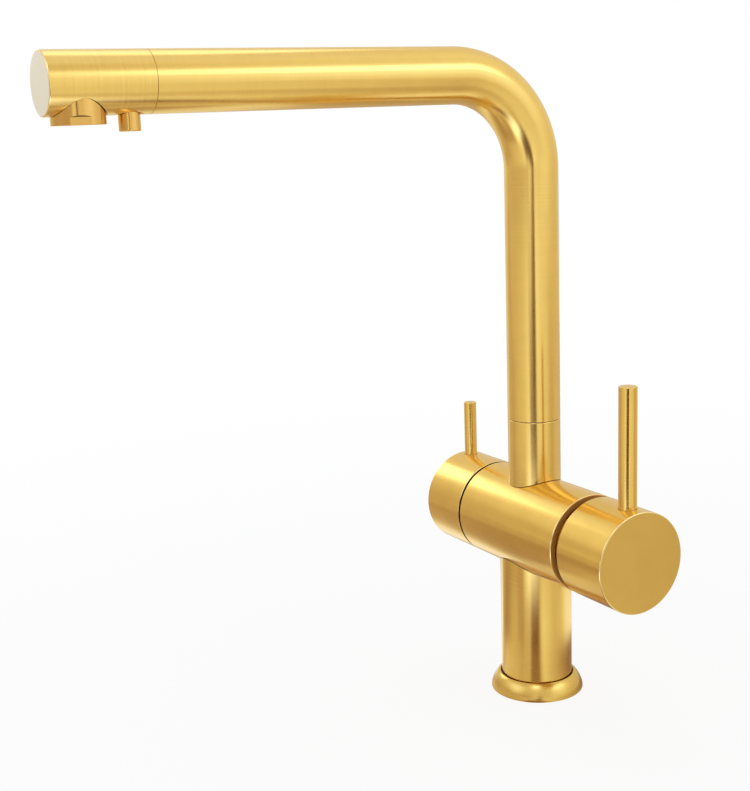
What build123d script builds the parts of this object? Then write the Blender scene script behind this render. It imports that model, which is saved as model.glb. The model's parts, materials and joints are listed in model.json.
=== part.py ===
from build123d import *
import os
from math import cos, radians, sin, sqrt, tan

# Three way filtered water tap.  Millimetres.
# Origin: middle of the base's underside.  +Z up, spout along -Y,
# mixer handle along +X, filtered water handle along -X.

# ---- clearances ------------------------------------------------------------------------
running_gap = 0.06        # radial, where one piece turns in another
seating_gap = 0.03        # radial, where a piece is brazed, pressed or screwed home
swing_clearance = 0.5     # round a piece that rocks
edge_break = 0.4          # bevel on the edges that show
seam_break = 0.2          # bevel on either side of a fine seam

# ---- base ------------------------------------------------------------------------------
column_diameter = 38.5
foot_diameter = 34.0      # of the column, below its shoulder
flange_diameter = 50.4
flange_height = 9.0
flange_gap = 0.75         # dark ring between flange and column
flange_floor = 3.0        # thickness clamped under the column's shoulder
flange_edge = 0.8         # upright rim at the worktop
gasket_diameter = 44.0    # middle of the ring
gasket_width = 3.4
gasket_thickness = 1.6

# ---- water ways and fixing in the underside --------------------------------------------
inlet_circle = 21.0       # pitch circle of the three hose inlets
inlet_drill = 9.0         # tapping size of M10 x 1
inlet_depth = 14.0
duct_diameter = 11.0      # cast ducts above the inlets
stud_drill = 6.8          # tapping size of M8
stud_depth = 16.0

# ---- barrel ----------------------------------------------------------------------------
barrel_diameter = 52.0
barrel_height = 94.5      # its axis above the worktop
barrel_left = 35.2        # from the tap's axis to either end
barrel_right = 47.7

# ---- mixer handle ----------------------------------------------------------------------
mixer_groove = 5.0        # barrel to cap
mixer_cap_length = 33.8
mixer_cap_wall = 2.0
mixer_cap_end = 4.0
mixer_lever_diameter = 9.2
mixer_lever_place = 10.1  # its axis from the cap's end face
mixer_lever_top = 87.2    # above the barrel's axis
mixer_lever_thread = 5.8
mixer_tilt = 25.0         # degrees, closed to full flow
mixer_turn = 45.0         # degrees, either way

# ---- mixer cartridge, 35 mm ------------------------------------------------------------
cartridge_diameter = 35.0
cartridge_wall = 1.5
cartridge_base_thickness = 4.0
cartridge_lip = 1.5
cartridge_mouth = 26.0
port_diameter = 6.0
port_spread = 7.5         # hot and cold ports, either side of the middle
port_drop = 5.0           # hot and cold ports, below the axis
outlet_rise = 8.0         # outlet port, above the axis
port_seal_width = 1.2
port_seal_thickness = 1.5
peg_diameter = 3.0
peg_length = 2.0
peg_circle = 29.0
fixed_disc_thickness = 3.5
mixing_disc_diameter = 21.6
mixing_disc_thickness = 3.0
mixing_recess_depth = 1.5
carrier_thickness = 3.5
tongue_width = 13.0       # carrier's tongue in the turret's channel
tongue_length = 17.0
tongue_height = 1.6
stack_gap = 0.3           # carrier to turret
turret_shoulder = 1.6     # turret's shoulder to the pivot
turret_nose = 4.5         # turret's face beyond the pivot
stop_lug_width = 4.0      # lug on the turret's neck, between the ends of the lip's notch
stop_lug_height = 1.2
arm_length = 11.5         # pivot to the spindle's ball
arm_diameter = 3.6
ball_diameter = 4.8
hub_width = 9.0
hub_diameter = 10.0
stem_diameter = 8.0
pin_diameter = 3.0
nut_thread_diameter = 38.8
nut_length = 5.3
nut_neck_diameter = 33.0
nut_neck_length = 3.0
nut_bore = 28.0
nut_slots = 4
nut_slot_width = 4.0
nut_slot_depth = 2.5
dome_clearance = 1.0      # dome to the inside of the cap
dome_wall = 1.2
dome_opening = 30.0
dome_ring = 2.8           # threaded ring at its foot
dome_recess = 0.3         # dome's foot to the barrel's seat

# ---- spindle seats in the caps ---------------------------------------------------------
boss_diameter = 16.0
mixer_stem_reach = 37.0   # pivot to the stem's end
stem_end_gap = 1.0
grub_diameter = 5.0
grub_length = 4.5
grub_socket = 2.5
grub_access = 5.6
grub_set_in = 5.0         # boss face to the grub screw's axis
lever_post_wall = 2.4     # round a lever's thread
lever_thread_bottom = 9.0 # above the barrel's axis
lever_seat_depth = 2.5
lever_seat_gap = 0.2

# ---- filtered water handle and valve ---------------------------------------------------
filter_seam = 1.2
filter_cap_length = 32.1
filter_cap_wall = 2.5
filter_cap_end = 4.0
filter_lever_diameter = 7.0
filter_lever_place = 6.9
filter_lever_top = 56.5
filter_lever_thread = 4.8
filter_quarter = 90.0     # degrees
filter_chamber_floor = 16.0   # from the tap's axis
filter_gallery_diameter = 24.0
filter_gallery_length = 11.0
filter_thread_diameter = 20.8
filter_head_pocket = 32.0
filter_head_sink = 6.0
filter_seal_bore = 6.4
filter_seal_diameter = 11.6
filter_seal_thickness = 1.5
filter_nose_length = 2.6
filter_disc_diameter = 15.0
filter_disc_thickness = 2.5
filter_port_diameter = 3.8
filter_port_circle = 6.6
filter_stem_diameter = 8.0
filter_hex = 22.0         # across flats
filter_hex_length = 6.5
filter_neck_diameter = 14.0
filter_neck_length = 5.5
filter_fork_thickness = 4.0
filter_stem_reach = 59.0  # tap's axis to the stem's end
filter_boss_start = 46.0
filter_window_width = 6.0
filter_window_length = 3.0
filter_outlet_rise = 8.8
filter_passage = 4.6

# ---- spout foot ------------------------------------------------------------------------
tube_diameter = 28.0
tube_wall = 1.5
collar_top = 152.8
spigot_thread_diameter = 22.0
spigot_socket_floor = 110.5   # height of the socket's floor in the barrel
spigot_gallery = 3.0
spigot_bore = 16.0
spigot_flange_diameter = 25.4
spigot_flange_thickness = 3.0
journal_diameter = 21.0
journal_length = 37.0
o_ring_thickness = 2.0
o_ring_low = 8.0          # O-rings and groove, above the collar
o_ring_high = 28.0
retaining_height = 18.0
retaining_groove = 4.6
retaining_depth = 1.3
retaining_screw = 4.0
washer_thickness = 0.3
washer_set_in = 0.5       # washer's rim, inside the tube's
mixed_riser_diameter = 5.0
mixed_riser_offset = 8.4

# ---- spout -----------------------------------------------------------------------------
spout_height = 332.0      # axis of the level run
bend_radius = 47.5
head_seam = 205.5         # from the tap's axis
spout_reach = 253.0       # to the end face
head_spigot_length = 12.0
filter_tube_diameter = 8.0
filter_tube_wall = 1.5
filter_tube_seat = 5.0    # depth of its seat in the barrel
filter_tube_foot_gap = 0.5
tube_seal_width = 1.2
tube_seal_height = 1.8
mixed_passage_diameter = 6.4
mixed_passage_rise = 8.2

# ---- outlets ---------------------------------------------------------------------------
aerator_place = 237.5     # from the tap's axis
aerator_diameter = 23.75
aerator_drop = 3.7        # below the head's underside
aerator_seat_rise = 7.9   # shoulder, above the head's underside
aerator_thread_diameter = 22.8
aerator_thread_length = 7.2
aerator_bore = 20.4
aerator_lip_bore = 17.0
aerator_lip = 1.0
aerator_counterbore_gap = 0.45
aerator_washer_thickness = 1.6
aerator_chamber_diameter = 15.0
spanner_flat_turn = -11.6 # degrees from +X, where the screwed ring came to rest
spanner_flat_width = 8.2
spanner_flat_height = 3.0
insert_wall = 1.2
grille_rings = 3
grille_ribs = 12
grille_rib = 0.7
grille_depth = 3.0
nozzle_place = 214.8
nozzle_diameter = 9.7
nozzle_drop = 7.0
nozzle_bore = 7.4
nozzle_thread_diameter = 8.0
nozzle_thread_length = 4.5
nozzle_bevel = 0.6
nozzle_sink_depth = 1.0   # countersink round it
nozzle_sink_width = 1.5
nozzle_sink_land = 0.25   # nozzle's shoulder, above the countersink's bottom
nozzle_insert_length = 3.0
nozzle_insert_sink = 0.8
nozzle_vane = 0.6

# ---- worked out from the sizes above ---------------------------------------------------
barrel_radius = barrel_diameter / 2
column_radius = column_diameter / 2
tube_radius = tube_diameter / 2
stack_height = (cartridge_base_thickness + fixed_disc_thickness
                + mixing_disc_thickness + carrier_thickness)

# The cap's inner rim swings past the barrel's end.  It clears the barrel all round when the
# pivot lies this far inside the rim.
mixer_cap_inner = barrel_radius - mixer_cap_wall
rim_reach = barrel_radius + swing_clearance
pivot_depth = ((rim_reach ** 2 - mixer_cap_inner ** 2 + mixer_groove ** 2)
               / (2 * mixer_groove))
mixer_rim_x = barrel_right + mixer_groove
pivot_x = mixer_rim_x - pivot_depth
mixer_end_x = mixer_rim_x + mixer_cap_length
mixer_lever_x = mixer_end_x - mixer_lever_place
mixer_stem_end_x = pivot_x + mixer_stem_reach
dome_radius = mixer_cap_inner - dome_clearance
mixer_boss_start = dome_radius + swing_clearance

carrier_x = pivot_x - arm_length - ball_diameter / 2 - running_gap
turret_foot_x = carrier_x + carrier_thickness + stack_gap
mixer_floor_x = turret_foot_x - stack_gap - stack_height
mixing_disc_x = carrier_x - mixing_disc_thickness
housing_front_x = pivot_x - turret_shoulder + running_gap + cartridge_lip
nut_seat_x = housing_front_x + nut_length
disc_travel = arm_length * radians(mixer_tilt)
disc_rest = -disc_travel / 2
housing_bore = cartridge_diameter - 2 * cartridge_wall

filter_rim_x = -(barrel_left + filter_seam)
filter_end_x = filter_rim_x - filter_cap_length
filter_lever_x = filter_end_x + filter_lever_place

tube_foot = collar_top + washer_thickness
tube_bore = tube_diameter - 2 * tube_wall
bend_start = spout_height - bend_radius
head_underside = spout_height - tube_radius
spigot_foot = spigot_socket_floor + spigot_gallery
filter_seat_floor = spigot_socket_floor - filter_tube_seat


# ---- shared forms ----------------------------------------------------------------------
def turned(profile, axis=Axis.Z):
    """A turned piece: profile holds (along, radius) points in order."""
    if axis == Axis.Z:
        points = [(radius, 0, along) for along, radius in profile]
    else:
        points = [(along, 0, radius) for along, radius in profile]
    return revolve(make_face(Polyline(*points, close=True)), axis)


def ring_profile(start, end, bore, diameter, start_edge=0.0, end_edge=0.0):
    """Profile of a plain or bored round bar, with its outer edges broken."""
    radius = diameter / 2
    points = [(start, bore / 2)]
    if start_edge:
        points += [(start, radius - start_edge), (start + start_edge, radius)]
    else:
        points += [(start, radius)]
    if end_edge:
        points += [(end - end_edge, radius), (end, radius - end_edge)]
    else:
        points += [(end, radius)]
    points += [(end, bore / 2)]
    return points


def upright(bottom, top, diameter, x=0.0, y=0.0, bore=0.0, bottom_edge=0.0, top_edge=0.0):
    """Round bar or ring along Z."""
    profile = ring_profile(bottom, top, bore, diameter, bottom_edge, top_edge)
    return Pos(x, y, 0) * turned(profile)


def crossbar(start, end, diameter, y=0.0, z=0.0, bore=0.0, start_edge=0.0, end_edge=0.0):
    """Round bar or ring along X; z counts from the barrel's axis."""
    profile = ring_profile(start, end, bore, diameter, start_edge, end_edge)
    return Pos(0, y, barrel_height + z) * turned(profile, Axis.X)


def crossturned(profile):
    """Turned piece on the barrel's axis."""
    return Pos(0, 0, barrel_height) * turned(profile, Axis.X)


def forward(start, end, diameter, z=0.0):
    """Round bar along -Y, between two reaches from the tap's axis."""
    bar = Cylinder(diameter / 2, end - start, align=(Align.CENTER, Align.CENTER, Align.MIN))
    return Pos(0, -start, z) * Rot(90, 0, 0) * bar


def hexagon_bar(start, end, across_flats):
    """Hexagon bar on the barrel's axis, between two places on X."""
    face = RegularPolygon(across_flats / 2, 6, major_radius=False)
    bar = extrude(face, end - start)
    return Pos(start, 0, barrel_height) * Rot(0, 90, 0) * bar


def solids_of(*pieces):
    """Separate identical solids that share one node."""
    return Compound(children=list(pieces))


# ---- water ways through the body -------------------------------------------------------
def inlet_places():
    """Cold, hot and filtered inlets on their circle."""
    return [(inlet_circle / 2 * cos(radians(angle)), inlet_circle / 2 * sin(radians(angle)))
            for angle in (-60, 60, 180)]


def water_ways():
    """Everything drilled or cored through the column and the barrel."""
    cold, hot, filtered = inlet_places()
    ways = []
    for x, y in (cold, hot, filtered):
        ways.append(upright(0, inlet_depth, inlet_drill, x, y))
    for x, y in (cold, hot):
        ways.append(upright(inlet_depth, barrel_height, port_diameter, x, y))
    ways.append(upright(inlet_depth, barrel_height + port_diameter / 2, port_diameter, *filtered))
    for side in (-1, 1):
        ways.append(crossbar(cold[0], mixer_floor_x, port_diameter, side * port_spread, -port_drop))
    ways.append(crossbar(-filter_chamber_floor, filtered[0], port_diameter))
    ways.append(crossbar(mixed_riser_offset, mixer_floor_x, port_diameter, 0, outlet_rise))
    ways.append(upright(barrel_height + outlet_rise, spigot_socket_floor,
                        mixed_riser_diameter, mixed_riser_offset))
    ways.append(crossbar(-filter_chamber_floor, 0, filter_passage, 0, filter_outlet_rise))
    ways.append(upright(barrel_height + filter_outlet_rise, filter_seat_floor, filter_passage))
    return ways


def saddle():
    """What the column and the collar leave free for the barrel brazed to them."""
    return crossbar(-barrel_left, barrel_right, barrel_diameter + 2 * seating_gap)


# ---- base and column -------------------------------------------------------------------
def base_flange():
    """Domed ring; the column's shoulder clamps its floor on the worktop."""
    outer = flange_diameter / 2
    inner = column_radius + flange_gap
    foot_bore = foot_diameter / 2 + seating_gap
    low_rim = Line((foot_bore, 0, 0), (outer - seam_break, 0, 0))
    bevel = Line(low_rim @ 1, (outer, 0, seam_break))
    rim = Line(bevel @ 1, (outer, 0, flange_edge))
    crown = inner + edge_break
    dome = Plane.XZ * EllipticalCenterArc((crown, flange_edge), outer - crown,
                                          flange_height - flange_edge, arc_size=90)
    lip = Polyline((crown, 0, flange_height), (inner, 0, flange_height - edge_break),
                   (inner, 0, flange_floor), (foot_bore, 0, flange_floor), (foot_bore, 0, 0))
    section = make_face([low_rim, bevel, rim, dome, lip])
    groove = upright(0, gasket_thickness, gasket_diameter + gasket_width + 2 * seating_gap,
                     bore=gasket_diameter - gasket_width - 2 * seating_gap)
    return revolve(section, Axis.Z) - groove


def base_gasket():
    return upright(0, gasket_thickness, gasket_diameter + gasket_width,
                   bore=gasket_diameter - gasket_width)


def body_column():
    """Column with its foot, saddle, cast ducts, inlets and fixing thread."""
    shoulder = flange_floor
    column = turned([(0, 0), (0, foot_diameter / 2 - seam_break), (seam_break, foot_diameter / 2),
                     (shoulder, foot_diameter / 2), (shoulder, column_radius - seam_break),
                     (shoulder + seam_break, column_radius), (barrel_height, column_radius),
                     (barrel_height, 0)])
    column -= saddle()
    for x, y in inlet_places():
        column -= upright(inlet_depth, barrel_height, duct_diameter, x, y)
    column -= upright(0, stud_depth, stud_drill)
    for way in water_ways():
        column -= way
    return column


def valve_barrel():
    """Barrel with a chamber for each valve and the socket for the spout's spigot."""
    barrel = crossbar(-barrel_left, barrel_right, barrel_diameter, 0, 0, 0, edge_break, edge_break)
    for way in water_ways():
        barrel -= way
    chamber = cartridge_diameter + 2 * running_gap
    barrel -= crossbar(mixer_floor_x, housing_front_x, chamber)
    barrel -= crossbar(housing_front_x - edge_break, nut_seat_x,
                       nut_thread_diameter + 2 * seating_gap)
    barrel -= crossbar(nut_seat_x, barrel_right, dome_foot_diameter() + 2 * swing_clearance)
    for y in (-peg_circle / 2, peg_circle / 2):
        barrel -= crossbar(mixer_floor_x - peg_length - seating_gap, mixer_floor_x,
                           peg_diameter + 2 * seating_gap, y)
    barrel -= crossbar(-filter_chamber_floor - filter_gallery_length, -filter_chamber_floor,
                       filter_gallery_diameter)
    barrel -= crossbar(-barrel_left, -filter_chamber_floor,
                       filter_thread_diameter + 2 * seating_gap)
    barrel -= crossbar(-barrel_left, -barrel_left + filter_head_sink, filter_head_pocket)
    barrel -= upright(spigot_socket_floor, barrel_height + barrel_radius,
                      spigot_thread_diameter + 2 * seating_gap)
    barrel -= upright(filter_seat_floor, spigot_socket_floor,
                      filter_tube_diameter + 2 * running_gap)
    barrel -= upright(tube_seal_foot(), tube_seal_foot() + tube_seal_height,
                      tube_seal_diameter())
    return barrel


def tube_seal_foot():
    """Height of the O-ring groove round the filtered water tube."""
    return filter_seat_floor + (filter_tube_seat - tube_seal_height) / 2


def tube_seal_diameter():
    return filter_tube_diameter + 2 * running_gap + 2 * tube_seal_width


# ---- spout foot ------------------------------------------------------------------------
def spout_collar():
    """Fixed stub, cut to the barrel, clamped by the spigot's flange."""
    collar = upright(barrel_height, collar_top, tube_diameter, top_edge=seam_break)
    collar -= saddle()
    collar -= upright(barrel_height, collar_top, spigot_thread_diameter + 2 * seating_gap)
    collar -= upright(collar_top - spigot_flange_thickness, collar_top,
                      spigot_flange_diameter + 2 * seating_gap)
    return collar


def swivel_spigot():
    """Threaded foot, clamping flange and the journal that the spout turns on."""
    top = collar_top + journal_length
    journal = journal_diameter / 2
    o_ring_root = journal - o_ring_thickness + running_gap
    groove_root = journal - retaining_depth
    profile = [(spigot_foot, spigot_bore / 2), (spigot_foot, spigot_thread_diameter / 2),
               (collar_top - spigot_flange_thickness, spigot_thread_diameter / 2),
               (collar_top - spigot_flange_thickness, spigot_flange_diameter / 2),
               (collar_top, spigot_flange_diameter / 2), (collar_top, journal)]
    grooves = [(o_ring_low, o_ring_thickness, o_ring_root),
               (retaining_height, retaining_groove, groove_root),
               (o_ring_high, o_ring_thickness, o_ring_root)]
    for height, width, root in grooves:
        middle = collar_top + height
        profile += [(middle - width / 2, journal), (middle - width / 2, root),
                    (middle + width / 2, root), (middle + width / 2, journal)]
    profile += [(top - edge_break, journal), (top, journal - edge_break), (top, spigot_bore / 2)]
    return turned(profile)


def spout_o_rings():
    rings = []
    for height in (o_ring_low, o_ring_high):
        middle = collar_top + height
        half = o_ring_thickness / 2 - seating_gap
        root = journal_diameter - 2 * o_ring_thickness + 2 * running_gap
        rings.append(upright(middle - half, middle + half, journal_diameter,
                             bore=root + 2 * seating_gap,
                             bottom_edge=edge_break, top_edge=edge_break))
    return solids_of(*rings)


def slip_washer():
    return upright(collar_top, tube_foot, tube_diameter - 2 * washer_set_in,
                   bore=journal_diameter + 2 * running_gap)


def filter_tube_seal():
    return upright(tube_seal_foot(), tube_seal_foot() + tube_seal_height, tube_seal_diameter(),
                   bore=filter_tube_diameter + 2 * running_gap)


# ---- spout -----------------------------------------------------------------------------
def spout_path(bottom, reach):
    """Centreline: up, round the bend and forward."""
    rise = Line((0, 0, bottom), (0, 0, bend_start))
    bend = Plane.YZ * Pos(-bend_radius, bend_start) * CenterArc((0, 0), bend_radius, 0, 90)
    run = Line((0, -bend_radius, spout_height), (0, -reach, spout_height))
    return Wire([rise, bend, run])


def pipe(path, foot, diameter, bore):
    """Tube along the spout's centreline."""
    section = Plane.XY.offset(foot) * (Circle(diameter / 2) - Circle(bore / 2))
    return sweep(section, path)


def spout_tube():
    tube = pipe(spout_path(tube_foot, head_seam), tube_foot, tube_diameter, tube_bore)
    foot_bevel = upright(tube_foot, tube_foot + seam_break, tube_diameter + 2 * seam_break)
    foot_bevel -= turned([(tube_foot, 0), (tube_foot, tube_radius - seam_break),
                          (tube_foot + seam_break, tube_radius), (tube_foot + seam_break, 0)])
    tube -= foot_bevel
    return tube - retaining_hole()


def retaining_hole():
    """Radial hole at the back for the retaining screw."""
    height = collar_top + retaining_height
    return Pos(0, 0, height) * Rot(-90, 0, 0) * Cylinder(
        retaining_screw / 2 + seating_gap, tube_diameter,
        align=(Align.CENTER, Align.CENTER, Align.MIN))


def spout_socket():
    """Brass sleeve in the tube's foot, running on the spigot."""
    top = collar_top + journal_length
    sleeve = upright(tube_foot, top, tube_bore - 2 * seating_gap,
                     bore=journal_diameter + 2 * running_gap)
    return sleeve - retaining_hole()


def spout_grub_screw():
    """Its tip runs in the spigot's groove."""
    tip = journal_diameter / 2 - retaining_depth + swing_clearance
    head = tube_radius - seam_break
    screw = Cylinder(retaining_screw / 2, head - tip, align=(Align.CENTER, Align.CENTER, Align.MIN))
    socket = extrude(RegularPolygon(grub_socket / 2 - seam_break, 6, major_radius=False),
                     grub_socket)
    screw -= Pos(0, 0, head - tip - grub_socket) * socket
    return Pos(0, 0, collar_top + retaining_height) * Rot(-90, 0, 0) * Pos(0, 0, tip) * screw


def spout_head():
    """Solid end piece, drilled for both waters."""
    head = forward(head_seam, spout_reach, tube_diameter, spout_height)
    end = head.edges().filter_by(GeomType.CIRCLE).group_by(Axis.Y)
    head = chamfer(end[0], edge_break)
    seam = head.edges().filter_by(GeomType.CIRCLE).group_by(Axis.Y)
    head = chamfer(seam[-1], seam_break)
    head += forward(head_seam - head_spigot_length, head_seam, tube_bore - 2 * seating_gap,
                    spout_height)
    # mixed water, above the middle, down to the aerator
    start = head_seam - head_spigot_length
    head -= forward(start, aerator_place, mixed_passage_diameter, spout_height + mixed_passage_rise)
    seat = head_underside + aerator_seat_rise
    thread_top = seat + aerator_thread_length + aerator_washer_thickness
    head -= upright(head_underside, seat, aerator_diameter + 2 * aerator_counterbore_gap,
                    0, -aerator_place)
    head -= upright(seat, thread_top, aerator_thread_diameter + 2 * seating_gap,
                    0, -aerator_place)
    head -= upright(thread_top, spout_height + mixed_passage_rise, aerator_chamber_diameter,
                    0, -aerator_place)
    # filtered water, on the middle line, down to the nozzle
    tube_end = head_seam
    head -= forward(start, tube_end, filter_tube_diameter + 2 * seating_gap, spout_height)
    head -= forward(tube_end, nozzle_place, filter_passage, spout_height)
    head -= upright(head_underside, nozzle_thread_top(), nozzle_thread_diameter + 2 * seating_gap,
                    0, -nozzle_place)
    head -= upright(nozzle_thread_top(), spout_height, filter_passage, 0, -nozzle_place)
    shoulder = nozzle_shoulder()
    mouth = nozzle_diameter / 2 + seating_gap
    start = head_underside - nozzle_sink_depth
    rim = mouth + nozzle_sink_width
    sink = turned([(start, 0), (start, rim), (shoulder - nozzle_sink_depth, rim),
                   (shoulder - nozzle_sink_land, mouth), (shoulder, mouth), (shoulder, 0)])
    return head - Pos(0, -nozzle_place, 0) * sink


def nozzle_shoulder():
    """Height where the nozzle's body ends and its thread begins."""
    dip = tube_radius - sqrt(tube_radius ** 2 - (nozzle_diameter / 2) ** 2)
    return head_underside + dip + nozzle_sink_depth


def nozzle_thread_top():
    return nozzle_shoulder() + nozzle_thread_length


def filter_water_tube():
    """Carries filtered water apart from the mixed, from the barrel to the nozzle."""
    foot = filter_seat_floor + filter_tube_foot_gap
    return pipe(spout_path(foot, head_seam - filter_tube_foot_gap), foot, filter_tube_diameter,
                filter_tube_diameter - 2 * filter_tube_wall)


# ---- outlets ---------------------------------------------------------------------------
def aerator_housing():
    """Screwed ring with two spanner flats."""
    foot = head_underside - aerator_drop
    shoulder = head_underside + aerator_seat_rise - seating_gap
    top = shoulder + aerator_thread_length
    outer = aerator_diameter / 2
    ring = turned([(foot, aerator_lip_bore / 2), (foot, outer - seam_break),
                   (foot + seam_break, outer), (shoulder, outer),
                   (shoulder, aerator_thread_diameter / 2), (top, aerator_thread_diameter / 2),
                   (top, aerator_bore / 2), (foot + aerator_lip, aerator_bore / 2),
                   (foot + aerator_lip, aerator_lip_bore / 2)])
    flat_reach = sqrt(outer ** 2 - (spanner_flat_width / 2) ** 2)
    for side in (0, 180):
        cutter = Pos(flat_reach, 0, foot) * Box(
            outer, aerator_diameter, spanner_flat_height,
            align=(Align.MIN, Align.CENTER, Align.MIN))
        ring -= Rot(0, 0, spanner_flat_turn + side) * cutter
    return Pos(0, -aerator_place, 0) * ring


def aerator_insert():
    """Straightener: a sleeve with a grille of rings and ribs across its mouth."""
    foot = head_underside - aerator_drop + aerator_lip
    top = head_underside + aerator_seat_rise - seating_gap + aerator_thread_length
    outer = aerator_bore - 2 * running_gap
    insert = upright(foot, top, outer, bore=outer - 2 * insert_wall)
    pitch = (outer / 2 - insert_wall) / (grille_rings + 1)
    for number in range(1, grille_rings + 1):
        middle = 2 * pitch * number
        insert += upright(foot, foot + grille_depth, middle + grille_rib, bore=middle - grille_rib)
    reach = outer / 2 - insert_wall / 2
    inner = pitch
    rib = Pos(inner, 0, foot) * Box(reach - inner, grille_rib, grille_depth,
                                    align=(Align.MIN, Align.CENTER, Align.MIN))
    for number in range(grille_ribs):
        insert += Rot(0, 0, number * 360 / grille_ribs) * rib
    return Pos(0, -aerator_place, 0) * insert


def aerator_washer():
    foot = head_underside + aerator_seat_rise - seating_gap + aerator_thread_length
    return upright(foot, foot + aerator_washer_thickness, aerator_thread_diameter - 2 * seating_gap,
                   0, -aerator_place, bore=aerator_chamber_diameter)


def filter_nozzle():
    foot = head_underside - nozzle_drop
    outer = nozzle_diameter / 2
    bore = nozzle_bore / 2
    shoulder = nozzle_shoulder() - seating_gap
    thread = nozzle_thread_diameter / 2
    top = shoulder + nozzle_thread_length
    throat = filter_passage / 2
    body = turned([(foot, bore), (foot, outer - nozzle_bevel), (foot + nozzle_bevel, outer),
                   (shoulder, outer), (shoulder, thread), (top, thread), (top, throat),
                   (shoulder, throat), (head_underside, bore)])
    return Pos(0, -nozzle_place, 0) * body


def nozzle_insert():
    """Cross vanes in a thin sleeve."""
    foot = head_underside - nozzle_drop + nozzle_insert_sink
    outer = nozzle_bore - 2 * seating_gap
    insert = upright(foot, foot + nozzle_insert_length, outer, bore=outer - 2 * nozzle_vane)
    vane = Pos(0, 0, foot) * Box(outer - nozzle_vane, nozzle_vane, nozzle_insert_length,
                                 align=(Align.CENTER, Align.CENTER, Align.MIN))
    for turn in (0, 60, 120):
        insert += Rot(0, 0, turn) * vane
    return Pos(0, -nozzle_place, 0) * insert


# ---- mixer cartridge -------------------------------------------------------------------
def port_places():
    """Cold, hot and outlet ports as (y, z from the axis)."""
    return [(-port_spread, -port_drop), (port_spread, -port_drop), (0, outlet_rise)]


def with_ports(piece, start, end, diameter=port_diameter):
    for y, z in port_places():
        piece -= crossbar(start, end, diameter, y, z)
    return piece


def cartridge_base():
    top = mixer_floor_x + cartridge_base_thickness
    base = with_ports(crossbar(mixer_floor_x, top, cartridge_diameter), mixer_floor_x, top)
    base = with_ports(base, mixer_floor_x, mixer_floor_x + port_seal_thickness,
                      port_diameter + 2 * (port_seal_width + seating_gap))
    for y in (-peg_circle / 2, peg_circle / 2):
        base += crossbar(mixer_floor_x - peg_length, mixer_floor_x, peg_diameter, y)
    return base


def cartridge_port_seals():
    rings = [crossbar(mixer_floor_x, mixer_floor_x + port_seal_thickness,
                      port_diameter + 2 * port_seal_width, y, z, port_diameter)
             for y, z in port_places()]
    return solids_of(*rings)


def fixed_ceramic_disc():
    start = mixer_floor_x + cartridge_base_thickness
    end = start + fixed_disc_thickness
    return with_ports(crossbar(start, end, housing_bore - 2 * seating_gap), start, end)


def cartridge_housing():
    """Its lip keeps the turret in; the notch in the lip stops the turret's lug either way."""
    start = mixer_floor_x + cartridge_base_thickness
    lip_start = housing_front_x - cartridge_lip
    outer = cartridge_diameter / 2
    housing = crossturned([(start, housing_bore / 2), (start, outer), (housing_front_x, outer),
                           (housing_front_x, cartridge_mouth / 2),
                           (lip_start, cartridge_mouth / 2), (lip_start, housing_bore / 2)])
    return housing - stop_notch()


def stop_notch():
    """Room for the turret's lug, as far as it turns either way."""
    lip_start = housing_front_x - cartridge_lip
    notch = crossbar(lip_start, housing_front_x, cartridge_mouth + 2 * stop_lug_height)
    size = cartridge_diameter
    inside = stop_lug_width / 2 + running_gap - size / 2
    for side in (-1, 1):
        short_of_stop = Pos(0, side * inside, 0) * Box(size, size, size)
        notch &= (Pos(lip_start, 0, barrel_height) * Rot(side * mixer_turn, 0, 0)
                  * short_of_stop)
    return notch


def mixing_ceramic_disc():
    """Slides on the fixed disc; a blind recess joins the ports that it uncovers."""
    disc = crossbar(mixing_disc_x, carrier_x, mixing_disc_diameter, 0, disc_rest)
    recess = Box(mixing_recess_depth, 2 * port_spread, 2 * port_drop + port_diameter / 2,
                 align=(Align.MIN, Align.CENTER, Align.CENTER))
    recess = fillet(recess.edges().filter_by(Axis.X), port_diameter / 4)
    return disc - Pos(mixing_disc_x, 0, barrel_height + disc_rest) * recess


def disc_carrier():
    """Holds the mixing disc; its tongue slides in the turret, the ball end drives its slot."""
    end = carrier_x + carrier_thickness
    carrier = crossbar(carrier_x, end, mixing_disc_diameter, 0, disc_rest)
    tongue = Box(tongue_height, tongue_width, tongue_length,
                 align=(Align.MIN, Align.CENTER, Align.CENTER))
    carrier += Pos(end, 0, barrel_height + disc_rest) * tongue
    # room below the ball, where the tilted arm leans on the slot's outer edge
    reach = pivot_x - end - tongue_height
    lean = disc_travel - reach * tan(radians(mixer_tilt))
    below = lean + arm_diameter / 2 / cos(radians(mixer_tilt)) + swing_clearance
    above = ball_diameter / 2 + swing_clearance
    slot = Box(carrier_thickness + tongue_height, ball_diameter + 2 * running_gap, above + below,
               align=(Align.MIN, Align.CENTER, Align.MIN))
    return carrier - Pos(carrier_x, 0, barrel_height - below) * slot


def swing_slot(reach, half_width):
    """Outline in X and Z of the room that a rocking arm needs, from the pivot to its reach.

    An arm along +X rocks down, and one along -X rocks up."""
    angle = radians(mixer_tilt)
    width = half_width + swing_clearance
    far = abs(reach) * tan(angle) + width / cos(angle)
    side = 1 if reach > 0 else -1
    return [(0, 0, side * width), (0, 0, -side * width / cos(angle)), (reach, 0, -side * far),
            (reach, 0, side * width)]


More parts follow.
